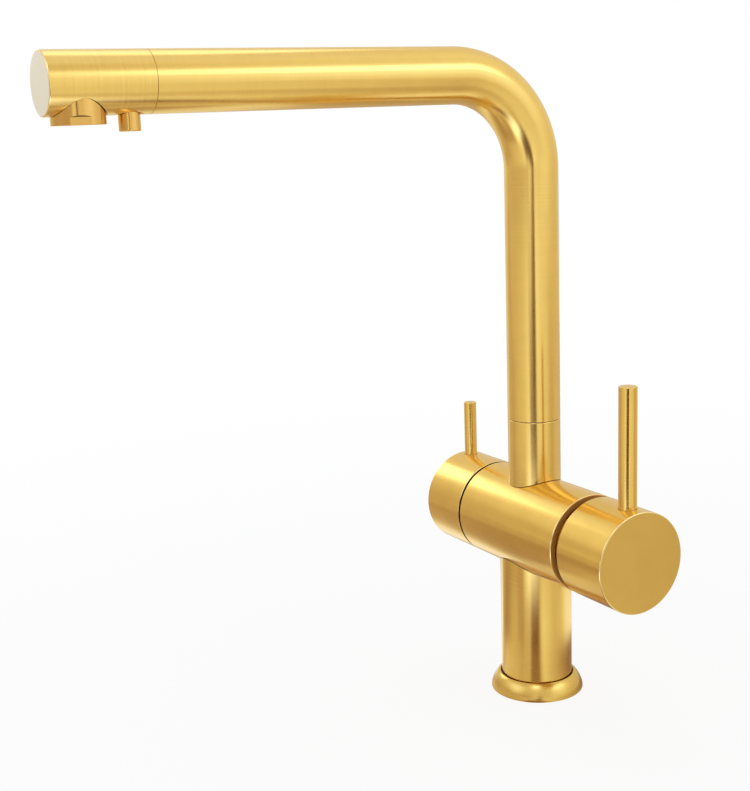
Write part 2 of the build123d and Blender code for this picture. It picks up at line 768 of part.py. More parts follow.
def mixer_turret():
    """Turning guide: carries the cross pin, the carrier's channel and the spindle's slot."""
    shoulder_x = pivot_x - turret_shoulder
    nose_x = pivot_x + turret_nose
    guide = housing_bore / 2 - running_gap
    neck = cartridge_mouth / 2 - running_gap
    turret = crossturned([(turret_foot_x, 0), (turret_foot_x, guide), (shoulder_x, guide),
                          (shoulder_x, neck), (nose_x - edge_break, neck),
                          (nose_x, neck - edge_break), (nose_x, 0)])
    lug_reach = cartridge_mouth / 2 + stop_lug_height - swing_clearance
    lug = Box(cartridge_lip, stop_lug_width, lug_reach - neck + stop_lug_height,
              align=(Align.MIN, Align.CENTER, Align.MIN))
    turret += Pos(shoulder_x, 0, barrel_height - lug_reach) * lug
    at_pivot = Pos(pivot_x, 0, barrel_height)
    width = hub_width + 2 * running_gap
    for outline in (swing_slot(turret_nose, stem_diameter / 2),
                    swing_slot(turret_foot_x - pivot_x, arm_diameter / 2)):
        face = make_face(Polyline(*outline, close=True))
        turret -= at_pivot * extrude(face, width / 2, both=True)
    hub_room = Cylinder(hub_diameter / 2 + swing_clearance, width, rotation=(90, 0, 0))
    turret -= at_pivot * hub_room
    channel = Box(tongue_height + stack_gap, tongue_width + 4 * running_gap, housing_bore,
                  align=(Align.MIN, Align.CENTER, Align.CENTER))
    turret -= Pos(turret_foot_x, 0, barrel_height) * channel
    pin_hole = Cylinder(pin_diameter / 2 + seating_gap, housing_bore, rotation=(90, 0, 0))
    return turret - at_pivot * pin_hole


def spindle_pin():
    length = cartridge_mouth - 2 * cartridge_lip
    pin = Cylinder(pin_diameter / 2, length, rotation=(90, 0, 0))
    return Pos(pivot_x, 0, barrel_height) * pin


def mixer_spindle():
    """Stem, hub on the cross pin, and the arm whose ball drives the discs."""
    at_pivot = Pos(pivot_x, 0, barrel_height)
    hub = at_pivot * Cylinder(hub_diameter / 2, hub_width, rotation=(90, 0, 0))
    stem = crossbar(pivot_x, mixer_stem_end_x, stem_diameter, end_edge=edge_break)
    arm = crossbar(pivot_x - arm_length, pivot_x, arm_diameter)
    ball = Pos(pivot_x - arm_length, 0, barrel_height) * Sphere(ball_diameter / 2)
    eye = at_pivot * Cylinder(pin_diameter / 2 + running_gap, hub_width, rotation=(90, 0, 0))
    return hub + stem + arm + ball - eye


def cartridge_nut():
    """Clamps the cartridge; its neck carries the dome."""
    nut = crossturned([(housing_front_x, nut_bore / 2), (housing_front_x, nut_thread_diameter / 2),
                       (nut_seat_x, nut_thread_diameter / 2), (nut_seat_x, nut_neck_diameter / 2),
                       (nut_seat_x + nut_neck_length, nut_neck_diameter / 2),
                       (nut_seat_x + nut_neck_length, nut_bore / 2)])
    slot = Box(nut_slot_depth, nut_slot_width, nut_neck_diameter,
               align=(Align.MAX, Align.CENTER, Align.CENTER))
    for number in range(nut_slots // 2):
        nut -= (Pos(nut_seat_x + nut_neck_length, 0, barrel_height)
                * Rot(number * 360 / nut_slots, 0, 0) * slot)
    return nut


def dome_foot_diameter():
    """Widest width of the dome, at its foot."""
    return 2 * sqrt(dome_radius ** 2 - (nut_seat_x + dome_recess - pivot_x) ** 2)


def mixer_dome():
    """Ball-shaped shroud about the pivot, so the cap swings round it."""
    foot = nut_seat_x + dome_recess - pivot_x
    ring_top = foot + dome_ring - dome_recess
    inner = dome_radius - dome_wall
    crown = sqrt(dome_radius ** 2 - (dome_opening / 2) ** 2)
    crown_inner = sqrt(inner ** 2 - (dome_opening / 2) ** 2)
    thread = nut_neck_diameter / 2 + seating_gap

    def on_ball(radius, along):
        return (along, 0, sqrt(radius ** 2 - along ** 2))

    def middle(radius, first, second):
        return on_ball(radius, (first + second) / 2)

    outer_arc = ThreePointArc(on_ball(dome_radius, foot), middle(dome_radius, foot, crown),
                              on_ball(dome_radius, crown))
    inner_arc = ThreePointArc(on_ball(inner, crown_inner), middle(inner, crown_inner, ring_top),
                              on_ball(inner, ring_top))
    lip = Line(outer_arc @ 1, inner_arc @ 0)
    ring = Polyline(inner_arc @ 1, (ring_top, 0, thread), (foot, 0, thread), outer_arc @ 0)
    section = make_face([outer_arc, lip, inner_arc, ring])
    return Pos(pivot_x, 0, barrel_height) * revolve(section, Axis.X)


# ---- caps and levers -------------------------------------------------------------------
def handle_cap(rim, end, wall, end_wall, boss_start, stem_bore_end, stem, lever_x, lever_width,
               lever_thread):
    """Hollow cap with a boss for the stem, a post for the lever and a grub screw hole.

    It points along +X or -X, from rim to end."""
    way = 1 if end > rim else -1
    inner = barrel_diameter / 2 - wall
    floor = end - way * end_wall
    outer = barrel_radius
    cap = crossturned([(rim, inner), (rim, outer - edge_break), (rim + way * edge_break, outer),
                       (end - way * edge_break, outer), (end, outer - edge_break), (end, 0),
                       (floor, 0), (floor, inner)])
    low, high = sorted((boss_start, end - way * end_wall / 2))
    cap += crossbar(low, high, boss_diameter)
    post = lever_thread + 2 * lever_post_wall
    cap += upright(barrel_height, barrel_height + outer - wall / 2, post, lever_x)
    low, high = sorted((boss_start, stem_bore_end))
    cap -= crossbar(low, high, stem + 2 * seating_gap)
    cap -= upright(barrel_height + lever_thread_bottom, barrel_height + outer,
                   lever_thread + 2 * seating_gap, lever_x)
    cap -= upright(barrel_height + outer - lever_seat_depth, barrel_height + outer + edge_break,
                   lever_width + 2 * lever_seat_gap, lever_x)
    grub_x = boss_start + way * grub_set_in
    cap -= upright(barrel_height - boss_diameter / 2, barrel_height,
                   grub_diameter + 2 * seating_gap, grub_x)
    cap -= upright(barrel_height - outer, barrel_height - boss_diameter / 2, grub_access, grub_x)
    return cap


def handle_lever(x, diameter, top, thread):
    """Pin with a threaded foot."""
    shank = barrel_height + barrel_radius - lever_seat_depth
    foot = barrel_height + lever_thread_bottom + stem_end_gap
    head = barrel_height + top
    pin = turned([(foot, 0), (foot, thread / 2), (shank, thread / 2), (shank, diameter / 2),
                  (head - seam_break, diameter / 2), (head, diameter / 2 - seam_break), (head, 0)])
    return Pos(x, 0, 0) * pin


def handle_grub_screw(x, stem):
    """Set screw under the boss, bearing on the stem."""
    top = barrel_height - stem / 2 - seating_gap
    screw = upright(top - grub_length, top, grub_diameter, x)
    socket = extrude(RegularPolygon(grub_socket / 2, 6, major_radius=False), grub_length / 2)
    return screw - Pos(x, 0, top - grub_length) * socket


def mixer_cap():
    return handle_cap(mixer_rim_x, mixer_end_x, mixer_cap_wall, mixer_cap_end,
                      pivot_x + mixer_boss_start, mixer_stem_end_x + stem_end_gap, stem_diameter,
                      mixer_lever_x, mixer_lever_diameter, mixer_lever_thread)


def mixer_lever():
    return handle_lever(mixer_lever_x, mixer_lever_diameter, mixer_lever_top, mixer_lever_thread)


def mixer_grub_screw():
    return handle_grub_screw(pivot_x + mixer_boss_start + grub_set_in, stem_diameter)


def filter_cap():
    return handle_cap(filter_rim_x, filter_end_x, filter_cap_wall, filter_cap_end,
                      -filter_boss_start, -filter_stem_reach - stem_end_gap, filter_stem_diameter,
                      filter_lever_x, filter_lever_diameter, filter_lever_thread)


def filter_lever():
    return handle_lever(filter_lever_x, filter_lever_diameter, filter_lever_top,
                        filter_lever_thread)


def filter_grub_screw():
    return handle_grub_screw(-filter_boss_start - grub_set_in, filter_stem_diameter)


# ---- filtered water valve --------------------------------------------------------------
def valve_places():
    """X of the valve's seal, nose, discs, fork and hexagon, counted outwards."""
    seal = -filter_chamber_floor
    nose = seal - filter_seal_thickness
    discs = nose - filter_nose_length
    turning = discs - filter_disc_thickness
    fork = turning - filter_disc_thickness
    hexagon = -barrel_left + filter_head_sink
    return seal, nose, discs, turning, fork, hexagon


def filter_valve_seal():
    seal, nose = valve_places()[:2]
    return crossbar(nose, seal, filter_seal_diameter, bore=filter_seal_bore)


def filter_valve_body():
    """Quarter-turn headwork: nose on the seal, disc chamber, windows, hexagon and neck."""
    nose, discs, _, fork, hexagon = valve_places()[1:]
    neck = hexagon - filter_hex_length
    mouth = neck - filter_neck_length
    web = discs + filter_nose_length / 2
    body = crossbar(web, nose, filter_seal_diameter)
    body += crossbar(hexagon, web, filter_thread_diameter)
    body += hexagon_bar(neck, hexagon, filter_hex)
    body += crossbar(mouth, neck, filter_neck_diameter, start_edge=edge_break)
    body -= crossbar(discs, nose, filter_seal_bore)
    body -= crossbar(fork - filter_fork_thickness, discs, filter_disc_diameter + 2 * running_gap)
    body -= crossbar(mouth, fork, filter_stem_diameter + 2 * running_gap)
    window = Box(filter_window_length, filter_window_width, filter_gallery_diameter)
    return body - Pos(fork, 0, barrel_height) * window


def quarter_turn_ports(start, end, turn):
    """Two opposite ports through a disc of the quarter-turn valve."""
    offset = filter_port_circle / 2
    ways = []
    for side in (0, 180):
        angle = radians(turn + side)
        ways.append(crossbar(start, end, filter_port_diameter, offset * sin(angle),
                             offset * cos(angle)))
    return ways


def filter_fixed_disc():
    discs, turning = valve_places()[2:4]
    disc = crossbar(turning, discs, filter_disc_diameter)
    for port in quarter_turn_ports(turning, discs, filter_quarter):
        disc -= port
    return disc


def filter_turning_disc():
    """Shut at rest: its ports stand a quarter turn from the fixed disc's."""
    turning, fork = valve_places()[3:5]
    disc = crossbar(fork, turning, filter_disc_diameter)
    for port in quarter_turn_ports(fork, turning, 0):
        disc -= port
    return disc


def filter_spindle():
    fork = valve_places()[4]
    foot = filter_disc_diameter - 2 * running_gap
    spindle = crossbar(fork - filter_fork_thickness + running_gap, fork, foot)
    spindle += crossbar(-filter_stem_reach, fork, filter_stem_diameter, start_edge=edge_break)
    return spindle


# ---- the tap ---------------------------------------------------------------------------
pieces = [
    base_flange, base_gasket, body_column, valve_barrel,
    spout_collar, swivel_spigot, spout_o_rings, slip_washer, filter_tube_seal,
    spout_tube, spout_socket, spout_grub_screw, spout_head, filter_water_tube,
    aerator_housing, aerator_insert, aerator_washer, filter_nozzle, nozzle_insert,
    cartridge_base, cartridge_port_seals, fixed_ceramic_disc, cartridge_housing,
    mixing_ceramic_disc, disc_carrier, mixer_turret, spindle_pin, mixer_spindle,
    cartridge_nut, mixer_dome, mixer_cap, mixer_lever, mixer_grub_screw,
    filter_cap, filter_lever, filter_grub_screw,
    filter_valve_seal, filter_valve_body, filter_fixed_disc, filter_turning_disc, filter_spindle,
]

os.makedirs("parts", exist_ok=True)
for piece in pieces:
    export_step(piece(), f"parts/{piece.__name__}.step")
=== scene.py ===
"""Looks of the three way filtered water tap, laid out as a Blender add-on.

Sizes are in metres. The spout points along -Y, the mixer handle along +X and the filtered
water handle along -X. Each visible piece stands for the frame's node of the same job.
"""
import json
import math

import bpy
import numpy as np
from bpy.props import FloatProperty, FloatVectorProperty, IntProperty, PointerProperty
from mathutils import Matrix, Vector

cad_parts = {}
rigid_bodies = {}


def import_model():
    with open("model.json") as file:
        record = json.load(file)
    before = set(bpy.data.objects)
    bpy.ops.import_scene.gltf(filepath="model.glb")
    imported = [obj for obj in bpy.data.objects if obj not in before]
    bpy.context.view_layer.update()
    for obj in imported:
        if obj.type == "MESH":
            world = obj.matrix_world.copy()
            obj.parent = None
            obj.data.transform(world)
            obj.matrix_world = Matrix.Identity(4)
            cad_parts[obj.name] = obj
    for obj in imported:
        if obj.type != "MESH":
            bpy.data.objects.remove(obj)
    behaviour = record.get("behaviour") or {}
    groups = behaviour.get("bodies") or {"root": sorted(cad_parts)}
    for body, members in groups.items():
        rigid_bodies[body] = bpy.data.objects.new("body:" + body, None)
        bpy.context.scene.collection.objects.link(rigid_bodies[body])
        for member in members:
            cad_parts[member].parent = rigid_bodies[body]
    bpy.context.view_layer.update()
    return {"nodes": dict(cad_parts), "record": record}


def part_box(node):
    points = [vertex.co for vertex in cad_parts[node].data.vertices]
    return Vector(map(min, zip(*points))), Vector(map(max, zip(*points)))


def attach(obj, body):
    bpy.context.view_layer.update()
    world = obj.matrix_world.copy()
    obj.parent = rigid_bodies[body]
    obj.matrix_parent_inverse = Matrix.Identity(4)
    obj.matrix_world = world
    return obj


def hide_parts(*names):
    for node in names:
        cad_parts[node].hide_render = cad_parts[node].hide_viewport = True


bl_info = {
    "name": "Filtered Water Tap",
    "version": (1, 0, 0),
    "blender": (4, 5, 0),
    "location": "View3D > Sidebar > Tap",
    "description": "Builds the dressed pieces of a three way filtered water tap",
    "category": "Object",
}

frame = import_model()
MM = 0.001
TINY = 1e-9  # metres that count as none
X, Y, Z = range(3)


def node_span(node, axis):
    """Lowest and highest place of a frame node along one axis, in metres."""
    low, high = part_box(node)
    return low[axis], high[axis]


def node_round(node, axis):
    """Middle and radius of a round frame node across one axis, in metres."""
    low, high = node_span(node, axis)
    return (low + high) / 2, (high - low) / 2


BARREL_LEFT, BARREL_RIGHT = node_span("valve_barrel", X)
BARREL_LOW, BARREL_HIGH = node_span("valve_barrel", Z)
BARREL_RADIUS = (BARREL_HIGH - BARREL_LOW) / 2
BARREL_HEIGHT = (BARREL_HIGH + BARREL_LOW) / 2
TUBE_FOOT, TUBE_TOP = node_span("spout_tube", Z)
TUBE_RADIUS = node_span("spout_tube", X)[1]
HEAD_END = -node_span("spout_head", Y)[0]
HEAD_SEAM = -node_span("spout_tube", Y)[0]
SPOUT_HEIGHT = TUBE_TOP - TUBE_RADIUS
SPOUT_UNDER = SPOUT_HEIGHT - TUBE_RADIUS
LEVER_DEPTH = 2.5 * MM  # of a lever's seat in its cap
FINE = 0.2 * MM  # radius on edges that hardly show
PIVOT_X = next(j for j in frame["record"]["behaviour"]["joints"]
               if j["name"] == "mixer_tilt")["pos_m"][0]


# ---- sizes and colours a user would change ---------------------------------------------
class TapSizes(bpy.types.PropertyGroup):
    """Sizes of the pieces that show."""

    edge_round: FloatProperty(
        name="Edge Round", description="Radius on the edges of barrel, caps and end piece",
        default=0.55 * MM, min=0.0, unit="LENGTH", precision=5)
    seam_round: FloatProperty(
        name="Seam Round", description="Radius on either side of a fine seam",
        default=0.4 * MM, min=0.0, unit="LENGTH", precision=5)
    bend_radius: FloatProperty(
        name="Bend Radius", description="Radius of the spout's centreline in the bend",
        default=47.5 * MM, min=0.02, unit="LENGTH", precision=5)
    tube_wall: FloatProperty(
        name="Tube Wall", description="Wall of the spout tube",
        default=1.5 * MM, min=0.0005, unit="LENGTH", precision=5)
    bend_steps: IntProperty(
        name="Bend Steps", description="Sections of the tube in the bend", default=72, min=8)
    sides: IntProperty(
        name="Sides", description="Facets round the large pieces", default=192, min=24)
    grille_ribs: IntProperty(
        name="Grille Ribs", description="Radial ribs in the aerator's grille", default=12, min=3)
    grille_rings: IntProperty(
        name="Grille Rings", description="Rings in the aerator's grille", default=3, min=1)


class TapFinish(bpy.types.PropertyGroup):
    """Colours and finish of the metal."""

    gold: FloatVectorProperty(
        name="Gold", description="Colour of the brushed gold", subtype="COLOR",
        default=(0.80, 0.535, 0.145), min=0.0, max=1.0)
    pale_gold: FloatVectorProperty(
        name="Pale Gold", description="Colour of the spout and column, a little paler",
        subtype="COLOR", default=(0.80, 0.55, 0.165), min=0.0, max=1.0)
    brass: FloatVectorProperty(
        name="Brass", description="Colour of the plain brass inside", subtype="COLOR",
        default=(0.62, 0.42, 0.17), min=0.0, max=1.0)
    roughness: FloatProperty(
        name="Roughness", description="Roughness of the brushed surfaces",
        default=0.26, min=0.0, max=1.0, subtype="FACTOR")
    brushing: FloatProperty(
        name="Brushing", description="How far highlights stretch across the brush marks",
        default=0.75, min=0.0, max=1.0, subtype="FACTOR")
    veil: FloatProperty(
        name="Veil", description="Pale sheen of the fine scratches where the metal turns away",
        default=0.2, min=0.0, max=1.0, subtype="FACTOR")


class TapStage(bpy.types.PropertyGroup):
    """Camera, lamps and floor."""

    focal_length: FloatProperty(
        name="Focal Length", description="Lens of the camera",
        default=1338.91 * 36.0 / 791.0, min=10.0, subtype="DISTANCE_CAMERA")
    lamp_level: FloatProperty(
        name="Lamp Level", description="Brightness of the lamps' faces",
        default=1.9, min=0.0)
    floor_colour: FloatVectorProperty(
        name="Floor", description="Colour of the floor", subtype="COLOR",
        default=(0.86, 0.86, 0.86), min=0.0, max=1.0)
    floor_whiteness: FloatProperty(
        name="Floor Whiteness", description="Share of plain white in the floor as it is seen",
        default=0.88, min=0.0, max=1.0, subtype="FACTOR")


# ---- half-sections of turned pieces ----------------------------------------------------
def linked_runs(spots):
    """Runs through (spot, normal) pairs."""
    return [(p0, p1, n0, n1) for (p0, n0), (p1, n1) in zip(spots, spots[1:])]


def flat_run(start, end):
    """Straight run, which has the metal on its right."""
    way = (end - start).normalized()
    flat = Vector((-way.y, way.x))
    return start, end, flat, flat


def half_section(corners, steps=5):
    """Runs of a closed half-section. A corner is (along, radius) or (along, radius, round).

    Going round it the metal lies on the right. Each run is (start, end, normals at both),
    and rounded corners carry the normals of the true curve."""
    points = [Vector(c[:2]) for c in corners]
    rounds = [c[2] if len(c) > 2 else 0.0 for c in corners]
    count = len(points)
    arcs = []
    for k in range(count):
        here = points[k]
        before = (here - points[k - 1]).normalized()
        after = (points[(k + 1) % count] - here).normalized()
        turn = math.atan2(before.x * after.y - before.y * after.x, before.dot(after))
        if rounds[k] <= 0 or abs(turn) < 1e-4:
            arcs.append([(here, None)])
            continue
        trim = rounds[k] * math.tan(abs(turn) / 2)
        start = here - before * trim
        side = -1.0 if turn < 0 else 1.0
        normal = Vector((-before.y, before.x))
        centre = start + normal * (side * rounds[k])
        arc = []
        for step in range(steps + 1):
            angle = turn * step / steps
            turned = Vector((normal.x * math.cos(angle) - normal.y * math.sin(angle),
                             normal.x * math.sin(angle) + normal.y * math.cos(angle)))
            arc.append((centre - turned * (side * rounds[k]), turned))
        arcs.append(arc)
    runs = []
    for k in range(count):
        arc, following = arcs[k], arcs[(k + 1) % count]
        runs += linked_runs(arc)
        start, end = arc[-1][0], following[0][0]
        if (end - start).length > TINY:
            runs.append(flat_run(start, end))
    return [run for run in runs if run[0].y > TINY or run[1].y > TINY]


def flank_runs(centre, length, reach, power, steps=48):
    """Quarter of a superellipse from its foot up to its top; a power near 1 flattens it."""
    spots = []
    for step in range(steps + 1):
        along = math.sin(math.pi / 2 * step / steps) ** 2
        across = max(1 - along ** power, 0.0) ** (1 / power)
        normal = Vector((along ** (power - 1) / length, across ** (power - 1) / reach))
        spots.append((Vector((centre[0] + length * along, centre[1] + reach * across)),
                      normal.normalized()))
    return linked_runs(spots)


def ball_runs(radius, first, last, way, steps=40):
    """Arc round the section's origin between two angles; way is 1 outside and -1 inside."""
    spots = []
    for step in range(steps + 1):
        angle = first + (last - first) * step / steps
        normal = Vector((math.sin(angle), math.cos(angle)))
        spots.append((normal * radius, normal * way))
    return linked_runs(spots)


# Axes of a turned piece: radius at angle 0, radius a quarter turn on, and along.
UPRIGHT = (Vector((1, 0, 0)), Vector((0, 1, 0)), Vector((0, 0, 1)))
CROSSWAYS = (Vector((0, 1, 0)), Vector((0, 0, 1)), Vector((1, 0, 0)))
FORWARD = (Vector((1, 0, 0)), Vector((0, 0, 1)), Vector((0, -1, 0)))


class Turning:
    """A half-section on its axis, which can be made a mesh and asked for normals."""

    def __init__(self, runs, axes, origin):
        self.runs = runs
        self.axes = axes
        self.origin = Vector(origin)

    def normals_at(self, spots, facing, reach):
        """Best normal of this form at each spot, and how well it agrees with the face."""
        way = np.array(self.axes[2])
        offset = spots - np.array(self.origin)
        along = offset @ way
        across = offset - along[:, None] * way
        radius = np.linalg.norm(across, axis=1)
        rim = across / np.maximum(radius, TINY)[:, None]
        best = np.full(len(spots), -2.0)
        found = np.zeros((len(spots), 3))
        for p0, p1, n0, n1 in self.runs:
            run = np.array(p1 - p0)
            share = ((along - p0.x) * run[0] + (radius - p0.y) * run[1]) / (run @ run)
            share = np.clip(share, 0, 1)
            gap = np.hypot(along - p0.x - share * run[0], radius - p0.y - share * run[1])
            flat = np.array(n0) * (1 - share)[:, None] + np.array(n1) * share[:, None]
            flat /= np.linalg.norm(flat, axis=1)[:, None]
            normal = flat[:, :1] * way + flat[:, 1:] * rim
            agree = np.abs(np.einsum("ij,ij->i", normal, facing))
            agree = np.where(gap < reach, agree - gap / reach * 0.02, -2.0)
            better = agree > best
            best[better] = agree[better]
            found[better] = normal[better]
        flip = np.einsum("ij,ij->i", found, facing) < 0
        found[flip] *= -1
        return best, found


def finish_mesh(name, mesh):
    """New object of a mesh, at the origin and in the scene."""
    piece = bpy.data.objects.new(name, mesh)
    bpy.context.scene.collection.objects.link(piece)
    return piece


def turned_piece(name, turning, sides, warp=None):
    """Mesh of a turned piece with its true normals.

    Its map holds (distance along the section, turn), so brush marks follow the turning."""
    out, side, way = turning.axes
    angles = [2 * math.pi * k / sides for k in range(sides)]
    spokes = [out * math.cos(angle) + side * math.sin(angle) for angle in angles]
    verts, uvs, normals, faces, rings = [], [], [], [], {}

    def ring(point):
        key = (round(point.x * 1e8), round(point.y * 1e8))
        if key not in rings:
            middle = turning.origin + way * point.x
            if point.y < TINY:
                rings[key] = [len(verts)] * sides
                verts.append(middle)
            else:
                rings[key] = list(range(len(verts), len(verts) + sides))
                verts.extend(middle + spoke * point.y for spoke in spokes)
        return rings[key]

    travelled = 0.0
    for p0, p1, n0, n1 in turning.runs:
        first, second = ring(p0), ring(p1)
        length = (p1 - p0).length
        low, high = travelled, travelled + length
        travelled = high
        rim0 = [way * n0.x + spoke * n0.y for spoke in spokes]
        rim1 = [way * n1.x + spoke * n1.y for spoke in spokes]
        for k in range(sides):
            m = (k + 1) % sides
            around, onward = k / sides, (k + 1) / sides
            corners = [(first[k], rim0[k], (low, around)), (first[m], rim0[m], (low, onward)),
                       (second[m], rim1[m], (high, onward)), (second[k], rim1[k], (high, around))]
            if first[k] == first[m]:
                corners.pop(1)
            elif second[k] == second[m]:
                corners.pop(3)
            faces.append([c[0] for c in corners])
            normals.extend(c[1] for c in corners)
            uvs.extend(c[2] for c in corners)
    mesh = bpy.data.meshes.new(name)
    mesh.from_pydata([warp(v) for v in verts] if warp else verts, [], faces)
    layer = mesh.uv_layers.new(name="brushing")
    layer.data.foreach_set("uv", [value for uv in uvs for value in uv])
    mesh.shade_smooth()
    mesh.normals_split_custom_set([tuple(n) for n in normals])
    mesh.validate(clean_customdata=False)
    return finish_mesh(name, mesh)


def turned(name, corners, axes, origin, sides, warp=None):
    """Turned piece of a half-section's corners; returns (piece, form)."""
    form = Turning(half_section(corners), axes, origin)
    return turned_piece(name, form, sides, warp), form


def evaluated_mesh(piece):
    """New mesh of an object after its modifiers."""
    depsgraph = bpy.context.evaluated_depsgraph_get()
    return bpy.data.meshes.new_from_object(piece.evaluated_get(depsgraph))


def carve(piece, tools, forms, reach):
    """Cuts tools out of a piece, and gives each face the true normal of its form again."""
    for tool in tools:
        step = piece.modifiers.new("cut", "BOOLEAN")
        step.operation = "DIFFERENCE"
        step.solver = "EXACT"
        step.object = tool
    old, mesh = piece.data, evaluated_mesh(piece)
    piece.modifiers.clear()
    piece.data = mesh
    mesh.name = piece.name
    for spare in [old] + [tool.data for tool in tools]:
        bpy.data.meshes.remove(spare)
    true_normals(mesh, forms, reach)


def cut_piece(piece, form, cutters, sides):
    """Cuts turned forms out of a turned piece."""
    tools = [turned_piece(piece.name + "_cutter", cutter, sides) for cutter in cutters]
    carve(piece, tools, [form, *cutters], 0.02 * MM)


def true_normals(mesh, forms, reach):
    """Custom normals read from the turned forms that a mesh was cut from."""
    loops = len(mesh.loops)
    corner_vertex = np.empty(loops, np.int32)
    mesh.loops.foreach_get("vertex_index", corner_vertex)
    places = np.empty(len(mesh.vertices) * 3)
    mesh.vertices.foreach_get("co", places)
    spots = places.reshape(-1, 3)[corner_vertex]
    starts = np.empty(len(mesh.polygons), np.int32)
    totals = np.empty(len(mesh.polygons), np.int32)
    flats = np.empty(len(mesh.polygons) * 3)
    mesh.polygons.foreach_get("loop_start", starts)
    mesh.polygons.foreach_get("loop_total", totals)
    mesh.polygons.foreach_get("normal", flats)
    facing = np.repeat(flats.reshape(-1, 3), totals, axis=0)
    owner = np.repeat(np.arange(len(mesh.polygons)), totals)
    result = facing.copy()
    lead = np.full(len(mesh.polygons), 0.8)
    for form in forms:
        agree, normal = form.normals_at(spots, facing, reach)
        worst = np.full(len(mesh.polygons), 2.0)
        np.minimum.at(worst, owner, agree)
        wins = worst > lead
        lead[wins] = worst[wins]
        chosen = wins[owner]
        result[chosen] = normal[chosen]
    mesh.shade_smooth()
    mesh.normals_split_custom_set(result.tolist())


def plug(start, end, radius, origin):
    """Round upright cutter between two heights."""
    corners = [(start, 0), (start, radius), (end, radius), (end, 0)]
    return Turning(half_section(corners), UPRIGHT, origin)


def on_barrel(spot, rim, way):
    """Moves a spot near a stub's end so that the end follows the barrel; rim is its flat place."""
    band, clearance = 2 * MM, 0.03 * MM
    if abs(spot.z - rim) > band:
        return spot
    rise = math.sqrt(max((BARREL_RADIUS + clearance) ** 2 - spot.y ** 2, 0.0))
    return Vector((spot.x, spot.y, BARREL_HEIGHT + way * rise + (spot.z - rim)))


def dress(piece, body, node, slot):
    """Gives a piece its slot's material and its body, and hides the node that it stands for."""
    piece.data.materials.clear()
    piece.data.materials.append(finish_of(slot))
    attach(piece, body)
    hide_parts(node)


def end_finish_and_painted_light(piece, axis, place, name, facing=0.999, reach=0.01 * MM):
    """Gives the end at a place along an axis its own material, a real matte finish on the caps'
    faces and painted light and shade on the rest; facing below 1 takes its round in.
    """
    number = len(piece.data.materials)
    piece.data.materials.append(finish_of(name))
    for polygon in piece.data.polygons:
        if abs(polygon.normal[axis]) > facing and abs(polygon.center[axis] - place) < reach:
            polygon.material_index = number


# ---- nodes -----------------------------------------------------------------------------
class Graph:
    """Writes a node tree. An input is given as a socket, which is linked, or as a value."""

    def __init__(self, tree):
        self.tree = tree

    def fill(self, node, inputs):
        for key, value in inputs.items():
            if isinstance(value, bpy.types.NodeSocket):
                self.tree.links.new(value, node.inputs[key])
            else:
                node.inputs[key].default_value = value
        return node

    def add(self, kind, inputs=None, mode=None, domain=None, data_type=None, operation=None):
        node = self.tree.nodes.new(kind)
        if mode:
            node.mode = mode
        if domain:
            node.domain = domain
        if data_type:
            node.data_type = data_type
        if operation:
            node.operation = operation
        return self.fill(node, inputs or {})

    def math(self, operation, *values):
        return self.add("ShaderNodeMath", dict(enumerate(values)), operation=operation).outputs[0]

    def combined(self, x, y, z):
        return self.add("ShaderNodeCombineXYZ", {"X": x, "Y": y, "Z": z}).outputs[0]

    def spread(self, value, low, high, start=0.0, end=1.0):
        """Value between start and end, brought to between low and high."""
        return self.add("ShaderNodeMapRange", {
            "Value": value, "From Min": start, "From Max": end, "To Min": low,
            "To Max": high}).outputs["Result"]

    def placed(self, scale=(1, 1, 1), shift=(0, 0, 0)):
        """Object coordinates, scaled and then shifted."""
        place = self.add("ShaderNodeTexCoord").outputs["Object"]
        return self.add("ShaderNodeMapping", {
            "Vector": place, "Scale": scale, "Location": shift}).outputs["Vector"]

    def length(self, vector):
        node = self.add("ShaderNodeVectorMath", {0: vector}, operation="LENGTH")
        return node.outputs["Value"]

    def noise(self, scale, detail):
        """Noise on object coordinates."""
        return self.add("ShaderNodeTexNoise", {
            "Vector": self.placed((scale,) * 3), "Scale": 1.0, "Detail": detail}).outputs["Fac"]

    def mixed(self, factor, first, second):
        node = self.add("ShaderNodeMix", {"Factor": factor, "A": first, "B": second})
        return node.outputs["Result"]

    def blend(self, factor, dark, light):
        """Mix of two colours by a factor."""
        return self.add("ShaderNodeMix", {"Factor": factor, 6: dark, 7: light},
                        data_type="RGBA").outputs[2]

    def toned(self, value, colour, contrast):
        """Colour that a noise makes a little darker and lighter."""
        return self.blend(self.spread(value, 0.0, 1.0, *NOISE_RANGE),
                          shade(colour, 1 - contrast), shade(colour, 1 + contrast))

    def bump(self, height, strength, distance):
        return self.add("ShaderNodeBump", {
            "Height": height, "Strength": strength, "Distance": distance}).outputs["Normal"]

    def seen_directly(self):
        """1 for camera, glossy and transmission rays, and 0 for the rest."""
        rays = self.add("ShaderNodeLightPath").outputs
        seen = self.math("MAXIMUM", rays["Is Camera Ray"], rays["Is Glossy Ray"])
        return self.math("MAXIMUM", seen, rays["Is Transmission Ray"])


# ---- materials -------------------------------------------------------------------------
NOISE_RANGE = (0.3, 0.7)  # where nearly all of a noise lies
